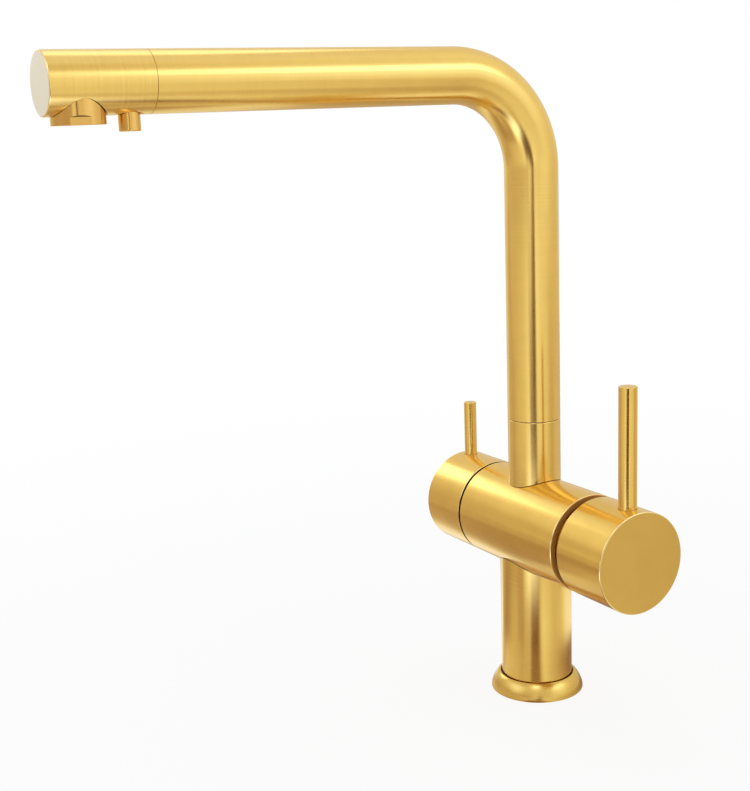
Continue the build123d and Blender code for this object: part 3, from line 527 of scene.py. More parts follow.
# Brushed metals by name. Rough, brush and veil are shares of the finish's own values.
METALS = {
    # the flange: less brushed, and tinted 0.86 darker as painted shade
    "polished_gold": dict(tint=0.86, brush=0.3, depth=0.05, contrast=0.04),
    # column_gold carries painted shade in the crease where the column and the collar meet the
    # barrel
    "column_gold": dict(pale=True, rough=0.75, brush=0.8, joint=True),
    "brushed_gold": dict(rough=0.75, brush=0.6, depth=0.22),
    "cap_gold": dict(rough=0.75, brush=0.6, depth=0.22),
    "tube_gold": dict(pale=True, rough=0.8, brush=0.8),
    "head_gold": dict(pale=True, rough=0.85, brush=0.7, mark=1.2 * MM, contrast=0.055, veil=2.5),
    # the outlets under the spout: a darker copy of the gold, painted shade
    "outlet_gold": dict(colour=(0.75, 0.465, 0.14), rough=0.7, brush=0.6),
    "lever_gold": dict(rough=0.6, brush=0.7),
    "dome_gold": dict(brush=0.4, veil=4.0),
    # painted highlight: a paler, smoother gold on the rounded edges, so that they show bright
    # lines
    "edge_highlight_gold": dict(colour=(0.84, 0.63, 0.28), rough=0.6, brush=0.0, depth=0.0, contrast=0.02),
    # the caps' end faces: matte and unbrushed, and tinted 0.88 darker as painted shade
    "matte_face_shaded_gold": dict(tint=0.88, rough=1.6, brush=0.0, depth=0.15, contrast=0.05, veil=4.5),
    # painted reflection: the spout end's flat face is near white, standing for pale light
    # reflected off it
    "reflection_painted_face": dict(colour=(0.86, 0.83, 0.78), rough=1.6, brush=0.0, depth=0.15,
                      contrast=0.03, veil=4.5),
}
# Other materials by name, as (colour, roughness, the rest). Plain brass takes the finish's.
PLAINS = {
    "seam_shadow": ((0.03, 0.013, 0.005), 0.8, dict(specular=0.0)),
    # painted shade: brown for the barrel's end face, which lies in the groove by the mixer's dome
    "groove_shade_brown": ((0.6, 0.27, 0.055), 0.42, dict(metallic=0.35)),
    # painted shade: dark brown for the sloping ledges above the aerator ring's spanner flats
    "ledge_shade_brown": ((0.24, 0.11, 0.03), 0.6, {}),
    "pale_plastic": ((0.72, 0.71, 0.66), 0.42, dict(relief=0.01 * MM)),
    "plain_brass": (None, 0.34, dict(metallic=1.0)),
    "steel": ((0.56, 0.57, 0.58), 0.28, dict(metallic=1.0)),
    "black_rubber": ((0.022, 0.022, 0.023), 0.62, dict(grain=1600.0, contrast=0.2)),
    "dark_plastic": ((0.035, 0.036, 0.04), 0.4, {}),
    "white_plastic": ((0.78, 0.78, 0.76), 0.38, {}),
    "white_ceramic": ((0.83, 0.82, 0.79), 0.14, dict(relief=0.004 * MM)),
}


def new_material(name):
    """Material with only a Principled shader in it; returns (material, graph, shader).

    One that is there is emptied and used again, so its pieces follow the settings."""
    title = name + "_finish"
    material = bpy.data.materials.get(title) or bpy.data.materials.new(title)
    material.use_nodes = True
    material.node_tree.nodes.clear()
    graph = Graph(material.node_tree)
    shader = graph.add("ShaderNodeBsdfPrincipled")
    graph.output = graph.add("ShaderNodeOutputMaterial", {"Surface": shader.outputs["BSDF"]})
    graph.output.location = (300, 0)
    return material, graph, shader


def finish_of(name):
    """The material of a name, written from its table's row and the settings."""
    if name in METALS:
        return brushed_metal(name, **METALS[name])
    colour, roughness, rest = PLAINS[name]
    return plain_material(name, colour or bpy.context.scene.tap_finish.brass, roughness, **rest)


def shade(colour, amount):
    """A colour made darker (below 1) or lighter (above 1), with its alpha."""
    return (*(min(1.0, channel * amount) for channel in colour[:3]), 1.0)


def brushed_metal(name, colour=None, pale=False, tint=1.0, rough=1.0, brush=1.0,
                  mark=0.5 * MM, depth=0.3, contrast=0.07, veil=1.0, joint=False):
    """Metal with brush marks that run round the turning, faintly clouded and unevenly rough.

    Crease shade darkens the last half millimetre above the barrel: painted shade in the crease
    where the piece meets the barrel."""
    finish = bpy.context.scene.tap_finish
    colour = shade(colour or (finish.pale_gold if pale else finish.gold), tint)
    roughness = finish.roughness * rough
    mark_length, cloud_scale, cloud_share, swing = 12 * MM, 90.0, 0.35, 0.12
    material, graph, shader = new_material(name)
    brush_map = graph.add("ShaderNodeUVMap")
    brush_map.uv_map = "brushing"
    split = graph.add("ShaderNodeSeparateXYZ", {"Vector": brush_map.outputs["UV"]})
    marks = graph.add("ShaderNodeTexNoise")
    marks.noise_dimensions = "1D"
    graph.fill(marks, {"W": graph.math("MULTIPLY", split.outputs["X"], 1 / mark),
                       "Scale": 1.0, "Detail": 3.0, "Roughness": 0.6})
    fading = graph.spread(graph.noise(1 / mark_length, 1.0), 0.5, 1.0, 0.35, 0.62)
    ringed = graph.mixed(fading, 0.5, marks.outputs["Fac"])
    both = graph.mixed(cloud_share, ringed, graph.noise(cloud_scale, 4.0))
    colours = graph.toned(both, colour, contrast)
    # painted shade: the colour falls to 0.22 of itself over the last half millimetre above the
    # barrel, in the crease
    if joint:
        clear = graph.spread(above_barrel(graph), 0.0, 1.0, 0.05 * MM, 0.5 * MM)
        colours = graph.blend(clear, shade(colour, 0.22), colours)
    tangent = graph.add("ShaderNodeTangent")
    tangent.direction_type = "UV_MAP"
    tangent.uv_map = "brushing"
    graph.fill(shader, {
        "Base Color": colours, "Metallic": 1.0, "Anisotropic": finish.brushing * brush,
        "Roughness": graph.spread(both, roughness * (1 - swing), roughness * (1 + swing),
                                  *NOISE_RANGE),
        "Sheen Weight": finish.veil * veil, "Sheen Roughness": 0.3,
        "Tangent": tangent.outputs["Tangent"],
        "Normal": graph.bump(ringed, depth, 0.008 * MM)})
    return material


def above_barrel(graph):
    """Height above the barrel's surface, from Object coordinates."""
    from_axis = graph.placed((0, 1, 1), (0, 0, -BARREL_HEIGHT))
    return graph.math("SUBTRACT", graph.length(from_axis), BARREL_RADIUS)


def plain_material(name, colour, roughness, metallic=0.0, grain=900.0, contrast=0.06,
                   relief=0.02 * MM, specular=0.5):
    """Moulded, cast or pressed surface with a fine grain on object coordinates."""
    material, graph, shader = new_material(name)
    noise = graph.noise(grain, 5.0)
    graph.fill(shader, {
        "Base Color": graph.toned(noise, colour, contrast), "Metallic": metallic,
        "Roughness": graph.spread(noise, roughness * 0.9, roughness * 1.1, *NOISE_RANGE),
        "Specular IOR Level": specular, "Normal": graph.bump(noise, 0.4, relief)})
    return material


# ---- Geometry Nodes --------------------------------------------------------------------
class Growth(Graph):
    """Node group for a modifier, which ends in real geometry with its material."""

    def __init__(self, name, inputs):
        super().__init__(bpy.data.node_groups.new(name, "GeometryNodeTree"))
        self.tree.is_modifier = True
        self.ids = {}
        for label, kind, value in inputs:
            item = self.tree.interface.new_socket(name=label, in_out="INPUT",
                                                  socket_type="NodeSocket" + kind)
            if value is not None:
                item.default_value = value
            self.ids[label] = item.identifier
        self.given = self.add("NodeGroupInput").outputs

    def joined(self, *geometries):
        node = self.add("GeometryNodeJoinGeometry")
        for geometry in geometries:
            self.fill(node, {"Geometry": geometry})
        return node.outputs["Geometry"]

    def moved(self, geometry, way):
        return self.add("GeometryNodeTransform", {
            "Geometry": geometry, "Translation": way}).outputs["Geometry"]

    def measured(self, curve, measure):
        """Curve with a measure of its points kept; returns (curve, measure)."""
        node = self.add("GeometryNodeCaptureAttribute")
        node.capture_items.new("FLOAT", measure)
        spline = self.add("GeometryNodeSplineParameter")
        self.fill(node, {"Geometry": curve, measure: spline.outputs[measure]})
        return node.outputs["Geometry"], node.outputs[measure]

    def end(self, label, geometry, material):
        self.tree.interface.new_socket(name=label, in_out="OUTPUT",
                                       socket_type="NodeSocketGeometry")
        real = self.add("GeometryNodeRealizeInstances", {"Geometry": geometry})
        coat = self.add("GeometryNodeSetMaterial", {
            "Geometry": real.outputs["Geometry"], "Material": material})
        self.add("NodeGroupOutput", {0: coat.outputs["Geometry"]})

    def run(self, name, source, values):
        """Runs the group on an object, which it replaces by a plain mesh."""
        step = source.modifiers.new(self.tree.name, "NODES")
        step.node_group = self.tree
        for key, value in values.items():
            step[self.ids[key]] = value
        mesh, data = evaluated_mesh(source), source.data
        store = bpy.data.curves if isinstance(data, bpy.types.Curve) else bpy.data.meshes
        store.remove(data)
        mesh.name = name
        mesh.set_sharp_from_angle(angle=math.radians(30))
        return finish_mesh(name, mesh)


def tube_growth(material):
    """Rounds the corner of a path and sweeps a pipe along it."""
    group = Growth("spout_tube_sweep", (
        ("Path", "Geometry", None), ("Bend Radius", "Float", 0.0475),
        ("Tube Radius", "Float", 0.014), ("Wall", "Float", 0.0015),
        ("Bend Steps", "Int", 72), ("Sides", "Int", 192)))
    given, add = group.given, group.add
    rounded = add("GeometryNodeFilletCurve", {
        "Curve": given["Path"], "Radius": given["Bend Radius"],
        "Count": given["Bend Steps"]}, mode="POLY")
    centreline, length = group.measured(rounded.outputs["Curve"], "Length")
    inner = group.math("SUBTRACT", given["Tube Radius"], given["Wall"])
    skins = []
    for radius in (given["Tube Radius"], inner):
        circle = add("GeometryNodeCurvePrimitiveCircle", {
            "Resolution": given["Sides"], "Radius": radius})
        profile, turn = group.measured(circle.outputs["Curve"], "Factor")
        sweep = add("GeometryNodeCurveToMesh", {
            "Curve": centreline, "Profile Curve": profile})
        stored = add("GeometryNodeStoreNamedAttribute", {
            "Geometry": sweep.outputs["Mesh"], "Name": "brushing",
            "Value": group.combined(length, turn, 0.0)}, data_type="FLOAT2", domain="CORNER")
        skins.append(stored.outputs["Geometry"])
    neighbours = add("GeometryNodeInputMeshEdgeNeighbors")
    open_edges = add("FunctionNodeCompare", {
        2: neighbours.outputs["Face Count"], 3: 1}, data_type="INT", operation="EQUAL")
    ends = add("GeometryNodeExtrudeMesh", {
        "Mesh": skins[0], "Selection": open_edges.outputs["Result"],
        "Offset Scale": 0.0}, mode="EDGES")
    narrowed = add("GeometryNodeScaleElements", {
        "Geometry": ends.outputs["Mesh"], "Selection": ends.outputs["Top"],
        "Scale": group.math("DIVIDE", inner, given["Tube Radius"])}, domain="EDGE")
    flipped = add("GeometryNodeFlipFaces", {"Mesh": skins[1]})
    merged = add("GeometryNodeMergeByDistance", {
        "Geometry": group.joined(narrowed.outputs["Geometry"], flipped.outputs["Mesh"]),
        "Distance": 0.005 * MM})
    group.end("Tube", merged.outputs["Geometry"], material)
    return group


def grille_growth(material):
    """An aerator's grille: rings, radial ribs and the sleeve round them."""
    group = Growth("aerator_grille", (
        ("Geometry", "Geometry", None), ("Rings", "Int", 3), ("Ribs", "Int", 12),
        ("Rib Width", "Float", 0.0007), ("Depth", "Float", 0.003),
        ("Sleeve Radius", "Float", 0.0101), ("Sleeve Wall", "Float", 0.0012),
        ("Sleeve Height", "Float", 0.017), ("Foot", "Vector", (0.0, 0.0, 0.0))))
    given, add, worked, combined = group.given, group.add, group.math, group.combined

    def swept(curves, width, height):
        upward = add("GeometryNodeSetCurveNormal", {"Curve": curves}, mode="Z_UP")
        profile = add("GeometryNodeCurvePrimitiveQuadrilateral", {
            "Width": width, "Height": height})
        sweep = add("GeometryNodeCurveToMesh", {
            "Curve": upward.outputs["Curve"], "Profile Curve": profile.outputs["Curve"],
            "Fill Caps": True})
        return group.moved(sweep.outputs["Mesh"],
                           combined(0.0, 0.0, worked("MULTIPLY", height, 0.5)))

    def repeated(count, curve, key, value):
        points = add("GeometryNodePoints", {"Count": count})
        return add("GeometryNodeInstanceOnPoints", {
            "Points": points.outputs[0], "Instance": curve.outputs["Curve"],
            key: value}).outputs["Instances"]

    inside = worked("SUBTRACT", given["Sleeve Radius"], given["Sleeve Wall"])
    middle = worked("ADD", inside, worked("MULTIPLY", given["Sleeve Wall"], 0.5))
    pitch = worked("DIVIDE", inside, worked("ADD", given["Rings"], 1.0))
    number = add("GeometryNodeInputIndex").outputs[0]
    circle = add("GeometryNodeCurvePrimitiveCircle", {"Resolution": 64, "Radius": 1.0})
    rings = repeated(given["Rings"], circle, "Scale",
                     worked("MULTIPLY", worked("ADD", number, 1.0), pitch))
    spoke = add("GeometryNodeCurvePrimitiveLine", {
        "Start": combined(pitch, 0.0, 0.0), "End": combined(middle, 0.0, 0.0)})
    turn = worked("DIVIDE", worked("MULTIPLY", number, 2 * math.pi), given["Ribs"])
    ribs = repeated(given["Ribs"], spoke, "Rotation", combined(0.0, 0.0, turn))
    real = add("GeometryNodeRealizeInstances", {"Geometry": group.joined(rings, ribs)})
    sleeve = add("GeometryNodeCurvePrimitiveCircle", {"Resolution": 96, "Radius": middle})
    whole = group.joined(
        swept(real.outputs["Geometry"], given["Rib Width"], given["Depth"]),
        swept(sleeve.outputs["Curve"], given["Sleeve Wall"], given["Sleeve Height"]))
    group.end("Grille", group.moved(whole, given["Foot"]), material)
    return group


# ---- pieces ----------------------------------------------------------------------------
class TAP_OT_base(bpy.types.Operator):
    """Builds the domed base flange."""

    bl_idname = "tap.base"
    bl_label = "Base Flange"

    def execute(self, context):
        outer, height = node_span("base_flange", X)[1], node_span("base_flange", Z)[1]
        inner, foot, floor = 20.0 * MM, 17.03 * MM, 3.0 * MM
        crown, rim, flatness = 20.4 * MM, 0.8 * MM, 1.4
        runs = half_section([(0, foot), (0, outer, 0.2 * MM), (rim, outer), (height, crown),
                             (height, inner, 0.25 * MM), (floor, inner), (floor, foot)])
        flank = next(k for k, run in enumerate(runs)
                     if abs(run[0].x - rim) < TINY and abs(run[1].x - height) < TINY)
        runs[flank:flank + 1] = flank_runs((rim, crown), height - rim, outer - crown, flatness)
        piece = turned_piece("flange", Turning(runs, UPRIGHT, (0, 0, 0)),
                             context.scene.tap_sizes.sides)
        # painted shade: the flange takes the darker copy of the gold
        dress(piece, "tap_body", "base_flange", "polished_gold")
        return {"FINISHED"}


class TAP_OT_body(bpy.types.Operator):
    """Builds the column, the barrel across it and the collar under the spout."""

    bl_idname = "tap.body"
    bl_label = "Column, Barrel and Collar"

    def execute(self, context):
        sizes = context.scene.tap_sizes
        self.column(sizes)
        self.barrel(sizes)
        self.collar(sizes)
        return {"FINISHED"}

    def column(self, sizes):
        radius = node_span("body_column", X)[1]
        foot, shoulder, top = 17.0 * MM, 3.0 * MM, BARREL_HEIGHT - BARREL_RADIUS
        corners = [(0, 0), (0, foot, FINE), (shoulder, foot), (shoulder, radius, FINE),
                   (top - 8 * MM, radius), (top, radius, 0.3 * MM)]
        corners += [(top, radius * share) for share in (0.8, 0.6, 0.4, 0.2, 0.0)]
        column, form = turned("column", corners, UPRIGHT, (0, 0, 0), sizes.sides,
                              lambda spot: on_barrel(spot, top, -1))
        holes = [plug(-1 * MM, mount["dims"]["length_mm"] * MM, mount["dims"]["r_mm"] * MM,
                      (*mount["pos_m"][:2], 0))
                 for mount in frame["record"]["mounts"] if mount["kind"] == "threaded_hole"]
        cut_piece(column, form, holes, sides=64)
        dress(column, "tap_body", "body_column", "column_gold")

    def barrel(self, sizes):
        edge = sizes.edge_round
        mouth, thread, lip = 22.82 * MM, 19.43 * MM, 42.835 * MM
        chamber, chamber_floor, front = 17.56 * MM, 13.115 * MM, 36.0 * MM
        bore, bore_end, duct, duct_end = 12 * MM, -27 * MM, 10.43 * MM, -16 * MM
        valve, valve_floor = 16 * MM, BARREL_LEFT + 6 * MM
        corners = [(duct_end, 0), (duct_end, bore), (bore_end, bore), (bore_end, duct),
                   (valve_floor, duct), (valve_floor, valve), (BARREL_LEFT, valve, FINE),
                   (BARREL_LEFT, BARREL_RADIUS, edge * 0.8),
                   (BARREL_RIGHT, BARREL_RADIUS, edge * 1.3), (BARREL_RIGHT, mouth, FINE),
                   (lip, mouth), (lip, thread), (front, thread), (front, chamber),
                   (chamber_floor, chamber), (chamber_floor, 0)]
        barrel = turned("barrel", corners, CROSSWAYS, (0, 0, BARREL_HEIGHT), sizes.sides)[0]
        dress(barrel, "tap_body", "valve_barrel", "brushed_gold")
        end_finish_and_painted_light(barrel, X, BARREL_LEFT, "seam_shadow", 0.3, 0.5 * MM)
        # painted highlight: the paler gold on the barrel's rounded right edge
        end_finish_and_painted_light(barrel, X, BARREL_RIGHT, "edge_highlight_gold", 0.1, 0.8 * MM)
        # painted shade: the barrel's end face in the groove is painted brown
        end_finish_and_painted_light(barrel, X, BARREL_RIGHT, "groove_shade_brown", 0.8, 0.4 * MM)

    def collar(self, sizes):
        high, crest = node_span("spout_collar", Z)[1], BARREL_HIGH
        bore, seat, seat_floor = 11.03 * MM, 12.73 * MM, high - 3 * MM
        corners = [(crest, bore), (crest, 12.4 * MM), (crest, TUBE_RADIUS, 0.3 * MM),
                   (crest + 8 * MM, TUBE_RADIUS), (high, TUBE_RADIUS, sizes.seam_round),
                   (high, seat), (seat_floor, seat), (seat_floor, bore)]
        collar = turned("collar", corners, UPRIGHT, (0, 0, 0), sizes.sides,
                        lambda spot: on_barrel(spot, crest, 1))[0]
        dress(collar, "tap_body", "spout_collar", "column_gold")


class TAP_OT_spout(bpy.types.Operator):
    """Builds the bent spout tube and the end piece that holds both outlets."""

    bl_idname = "tap.spout"
    bl_label = "Spout"

    def execute(self, context):
        sizes = context.scene.tap_sizes
        path = bpy.data.curves.new("spout_path", "CURVE")
        path.dimensions = "3D"
        line = path.splines.new("POLY")
        line.points.add(2)
        for point, spot in zip(line.points, ((0, 0, TUBE_FOOT), (0, 0, SPOUT_HEIGHT),
                                             (0, -HEAD_SEAM, SPOUT_HEIGHT))):
            point.co = (*spot, 1)
        tube = tube_growth(finish_of("tube_gold")).run("tube", finish_mesh("spout_path", path), {
            "Bend Radius": sizes.bend_radius, "Tube Radius": TUBE_RADIUS,
            "Wall": sizes.tube_wall, "Bend Steps": sizes.bend_steps, "Sides": sizes.sides})
        dress(tube, "spout", "spout_tube", "tube_gold")

        spigot, spigot_end = 12.47 * MM, HEAD_SEAM - 12 * MM
        corners = [(spigot_end, 0), (spigot_end, spigot), (HEAD_SEAM, spigot),
                   (HEAD_SEAM, TUBE_RADIUS, sizes.seam_round),
                   (HEAD_END, TUBE_RADIUS, sizes.edge_round), (HEAD_END, 0)]
        head, form = turned("end_piece", corners, FORWARD, (0, 0, SPOUT_HEIGHT), sizes.sides)
        aerator_y, aerator = node_round("aerator_housing", Y)
        nozzle_y = node_round("filter_nozzle", Y)[0]
        mouth, flare, counterbore, depth = 4.88 * MM, 1.5 * MM, 0.45 * MM, 7.9 * MM
        sill = SPOUT_UNDER + flank_rise(4.85 * MM)
        sink = half_section([(SPOUT_UNDER - 1 * MM, 0), (SPOUT_UNDER - 1 * MM, mouth + flare),
                             (sill, mouth + flare), (sill + 0.75 * MM, mouth),
                             (sill + 1 * MM, mouth), (sill + 1 * MM, 0)])
        cutters = [plug(SPOUT_UNDER - 2 * MM, SPOUT_UNDER + depth, aerator + counterbore,
                        (0, aerator_y, 0)), Turning(sink, UPRIGHT, (0, nozzle_y, 0))]
        cut_piece(head, form, cutters, sides=128)
        dress(head, "spout", "spout_head", "head_gold")
        # painted highlight: the paler gold on the spout end's rounded edge
        end_finish_and_painted_light(head, Y, -HEAD_END, "edge_highlight_gold", 0.1, 0.6 * MM)
        # painted reflection: the flat end face takes the near-white colour
        end_finish_and_painted_light(head, Y, -HEAD_END, "reflection_painted_face")
        return {"FINISHED"}


def flank_rise(radius):
    """How far a round hole of a radius reaches up the flank of the spout from below."""
    return TUBE_RADIUS - math.sqrt(TUBE_RADIUS ** 2 - radius ** 2)


class TAP_OT_outlets(bpy.types.Operator):
    """Builds the aerator's ring and grille and the filtered water nozzle."""

    bl_idname = "tap.outlets"
    bl_label = "Outlets"

    def execute(self, context):
        sizes = context.scene.tap_sizes
        low, high = node_span("aerator_housing", Z)
        middle, radius = node_round("aerator_housing", Y)
        lip, bore, thread = 8.5 * MM, 10.2 * MM, 11.4 * MM
        shoulder, sill = low + 11.57 * MM, low + 1 * MM
        corners = [(low, lip, 0.15 * MM), (low, radius, 0.25 * MM), (shoulder, radius),
                   (shoulder, thread), (high, thread), (high, bore), (sill, bore), (sill, lip)]
        ring, form = turned("aerator_ring", corners, UPRIGHT, (0, middle, 0), sizes.sides)
        spanner_flats(ring, form, middle, low, radius)
        # painted shade: the aerator ring takes the darker copy of the gold
        dress(ring, "spout", "aerator_housing", "outlet_gold")
        # painted shade: the ledges facing down above the spanner flats take the dark brown
        ring.data.materials.append(finish_of("ledge_shade_brown"))
        for polygon in ring.data.polygons:
            if -0.9 < polygon.normal.z < -0.6 and polygon.center.z > low + 2 * MM:
                polygon.material_index = 1

        foot, top = node_span("aerator_insert", Z)
        seed = finish_mesh("grille_seed", bpy.data.meshes.new("grille_seed"))
        grille = grille_growth(finish_of("pale_plastic")).run("aerator_grille", seed, {
            "Rings": sizes.grille_rings, "Ribs": sizes.grille_ribs, "Rib Width": 0.7 * MM,
            "Depth": 3 * MM, "Sleeve Radius": node_span("aerator_insert", X)[1],
            "Sleeve Wall": 1.2 * MM, "Sleeve Height": top - foot,
            "Foot": (0.0, middle, foot)})
        dress(grille, "spout", "aerator_insert", "pale_plastic")

        low, high = node_span("filter_nozzle", Z)
        middle, radius = node_round("filter_nozzle", Y)
        shoulder = SPOUT_UNDER + flank_rise(radius) + 0.97 * MM
        mouth, stem, bore = 3.7 * MM, 4 * MM, 2.3 * MM
        corners = [(low, mouth, 0.12 * MM), (low, radius, 0.55 * MM), (shoulder, radius),
                   (shoulder, stem), (high, stem), (high, bore), (shoulder, bore),
                   (SPOUT_UNDER, mouth)]
        nozzle = turned("filtered_water_nozzle", corners, UPRIGHT, (0, middle, 0), 128)[0]
        # painted shade: the nozzle takes the darker copy of the gold
        dress(nozzle, "spout", "filter_nozzle", "outlet_gold")
        return {"FINISHED"}


def spanner_flats(ring, form, middle, low, radius):
    """Cuts the two spanner flats into the aerator ring, each with a sloping ledge above it."""
    turn, half_width, height = math.radians(-11.6), 4.5 * MM, 4.2 * MM
    ledge_slope, reach, side_reach = 0.8, 6 * MM, 9 * MM
    depth = math.sqrt(radius ** 2 - half_width ** 2)
    verts = [(depth + x, y, z) for x in (0, reach) for y in (-side_reach, side_reach)
             for z in (low - 1 * MM, low + height + ledge_slope * (x - 1 * MM))]
    faces = [(0, 1, 3, 2), (4, 6, 7, 5), (0, 4, 5, 1), (2, 3, 7, 6), (0, 2, 6, 4), (1, 5, 7, 3)]
    tools = []
    for side in (0, math.pi):
        spun = Matrix.Translation((0, middle, 0)) @ Matrix.Rotation(turn + side, 4, "Z")
        mesh = bpy.data.meshes.new("flat_cutter")
        mesh.from_pydata([spun @ Vector(v) for v in verts], [], faces)
        mesh.uv_layers.new(name="brushing")
        tools.append(finish_mesh("flat_cutter", mesh))
    carve(ring, tools, [form], 0.01 * MM)


def handle_cap(name, span, lever_node, wall, boss_start, stem_end, rounds, grub_x, sides):
    """Hollow cap with the boss that grips the stem, the lever's seat and the grub screw's hole.

    Span is its (rim, end) along X, and rounds are those of its (rim, end)."""
    rim, end = span
    way = 1 if end > rim else -1
    floor = end - way * 4 * MM
    inner, boss, stem = BARREL_RADIUS - wall, 8 * MM, 4.03 * MM
    corners = [(stem_end, 0), (stem_end, stem), (boss_start, stem), (boss_start, boss, FINE),
               (floor, boss), (floor, inner, 0.6 * MM), (rim, inner, FINE),
               (rim, BARREL_RADIUS, rounds[0]), (end, BARREL_RADIUS, rounds[1]), (end, 0)]
    if way < 0:
        corners.reverse()
    cap, form = turned(name, corners, CROSSWAYS, (0, 0, BARREL_HEIGHT), sides)
    top = BARREL_HEIGHT + BARREL_RADIUS
    lever_x, lever_radius = node_round(lever_node, X)
    seat = plug(top - LEVER_DEPTH, top + 2 * MM, lever_radius + 0.2 * MM, (lever_x, 0, 0))
    access = plug(BARREL_LOW - 1 * MM, BARREL_HEIGHT - 8 * MM, 2.8 * MM, (grub_x, 0, 0))
    cut_piece(cap, form, [seat, access], sides=96)
    return cap


def lever(name, body, node):
    """Slim pin lever with its threaded foot."""
    low, high = node_span(node, Z)
    x, radius = node_round(node, X)
    shank, thread, edge = BARREL_HEIGHT + BARREL_RADIUS - LEVER_DEPTH, radius - 1.4 * MM, 0.3 * MM
    corners = [(low, 0), (low, thread), (shank, thread), (shank, radius, edge),
               (high, radius, edge), (high, 0)]
    pin = turned(name, corners, UPRIGHT, (x, 0, 0), 96)[0]
    dress(pin, body, node, "lever_gold")


class TAP_OT_mixer_handle(bpy.types.Operator):
    """Builds the mixer's cap, its pin lever and the ball-shaped dome that it swings round."""

    bl_idname = "tap.mixer_handle"
    bl_label = "Mixer Handle"

    def execute(self, context):
        sizes = context.scene.tap_sizes
        rim, end = node_span("mixer_cap", X)
        cap = handle_cap("mixer_handle_cap", (rim, end), "mixer_lever", 2 * MM,
                         PIVOT_X + 23.5 * MM, PIVOT_X + 38 * MM, (sizes.edge_round,) * 2,
                         PIVOT_X + 28.5 * MM, sizes.sides)
        dress(cap, "mixer_handle", "mixer_cap", "cap_gold")
        # painted highlight: the paler gold on the cap's rounded edges
        end_finish_and_painted_light(cap, X, end, "edge_highlight_gold", 0.1, 0.6 * MM)
        end_finish_and_painted_light(cap, X, rim, "edge_highlight_gold", 0.1, 0.6 * MM)
        # the mixer cap's end face: matte finish, with painted shade in its darker tint
        end_finish_and_painted_light(cap, X, end, "matte_face_shaded_gold")
        lever("mixer_handle_pin", "mixer_handle", "mixer_lever")

        radius, wall, neck, mouth = 23 * MM, 1.2 * MM, 16.53 * MM, 15 * MM
        start = node_span("mixer_dome", X)[0] - PIVOT_X
        ring, inner = start + 2.5 * MM, radius - wall
        outside = ball_runs(radius, math.asin(start / radius), math.acos(mouth / radius), 1)
        inside = ball_runs(inner, math.acos(mouth / inner), math.asin(ring / inner), -1)
        back = (inside[-1][1], Vector((ring, neck)), Vector((start, neck)), outside[0][0])
        runs = [*outside, flat_run(outside[-1][1], inside[0][0]), *inside,
                *(flat_run(first, second) for first, second in zip(back, back[1:]))]
        dome = turned_piece("mixer_ball_dome",
                            Turning(runs, CROSSWAYS, (PIVOT_X, 0, BARREL_HEIGHT)), sizes.sides)
        dress(dome, "tap_body", "mixer_dome", "dome_gold")
        return {"FINISHED"}


class TAP_OT_filter_handle(bpy.types.Operator):
    """Builds the filtered water cap and its short pin lever."""

    bl_idname = "tap.filter_handle"
    bl_label = "Filtered Water Handle"

    def execute(self, context):
        sizes = context.scene.tap_sizes
        end, rim = node_span("filter_cap", X)
        cap = handle_cap("filter_handle_cap", (rim, end), "filter_lever", 2.5 * MM, -46 * MM,
                         -60 * MM, (sizes.edge_round * 1.3, sizes.edge_round), -51 * MM,
                         sizes.sides)
        dress(cap, "filter_handle", "filter_cap", "cap_gold")
        # the filter cap's end face: matte finish, with painted shade in its darker tint
        end_finish_and_painted_light(cap, X, end, "matte_face_shaded_gold")
        # painted highlight: the paler gold on the cap's rounded rim
        end_finish_and_painted_light(cap, X, rim, "edge_highlight_gold", 0.1, 0.8 * MM)
        end_finish_and_painted_light(cap, X, rim, "seam_shadow", 0.58, 0.4 * MM)
        lever("filter_handle_pin", "filter_handle", "filter_lever")
        return {"FINISHED"}


INNER_NODES = {
    "plain_brass": ("swivel_spigot", "spout_socket", "mixer_spindle", "cartridge_nut",
                    "filter_valve_body", "filter_spindle"),
    "steel": ("spout_grub_screw", "spindle_pin", "mixer_grub_screw", "filter_grub_screw"),
    "black_rubber": ("base_gasket", "spout_o_rings", "filter_tube_seal", "aerator_washer",
                     "cartridge_port_seals", "filter_valve_seal"),
    "dark_plastic": ("slip_washer", "cartridge_base", "cartridge_housing", "disc_carrier",
                     "mixer_turret"),
    "white_plastic": ("filter_water_tube",),
    "white_ceramic": ("fixed_ceramic_disc", "mixing_ceramic_disc", "filter_fixed_disc",
                      "filter_turning_disc"),
    "pale_plastic": ("nozzle_insert",),
}


class TAP_OT_inner_pieces(bpy.types.Operator):
    """Finishes the frame's own pieces that stay: cartridge, valve, seals and screws."""

    bl_idname = "tap.inner_pieces"
    bl_label = "Inner Pieces"

    def execute(self, context):
        for kind, names in INNER_NODES.items():
            material = finish_of(kind)
            for name in names:
                node = frame["nodes"][name]
                if not node.material_slots:
                    node.data.materials.append(material)
                for place in node.material_slots:
                    place.material = material
        return {"FINISHED"}


# ---- stage -----------------------------------------------------------------------------
def round_the_set(azimuth, distance, height):
    """Place round the tap. Azimuth 0 is in front of the spout, 90 on the mixer's side."""
    turn = math.radians(azimuth)
    return Vector((distance * math.sin(turn), -distance * math.cos(turn), height))


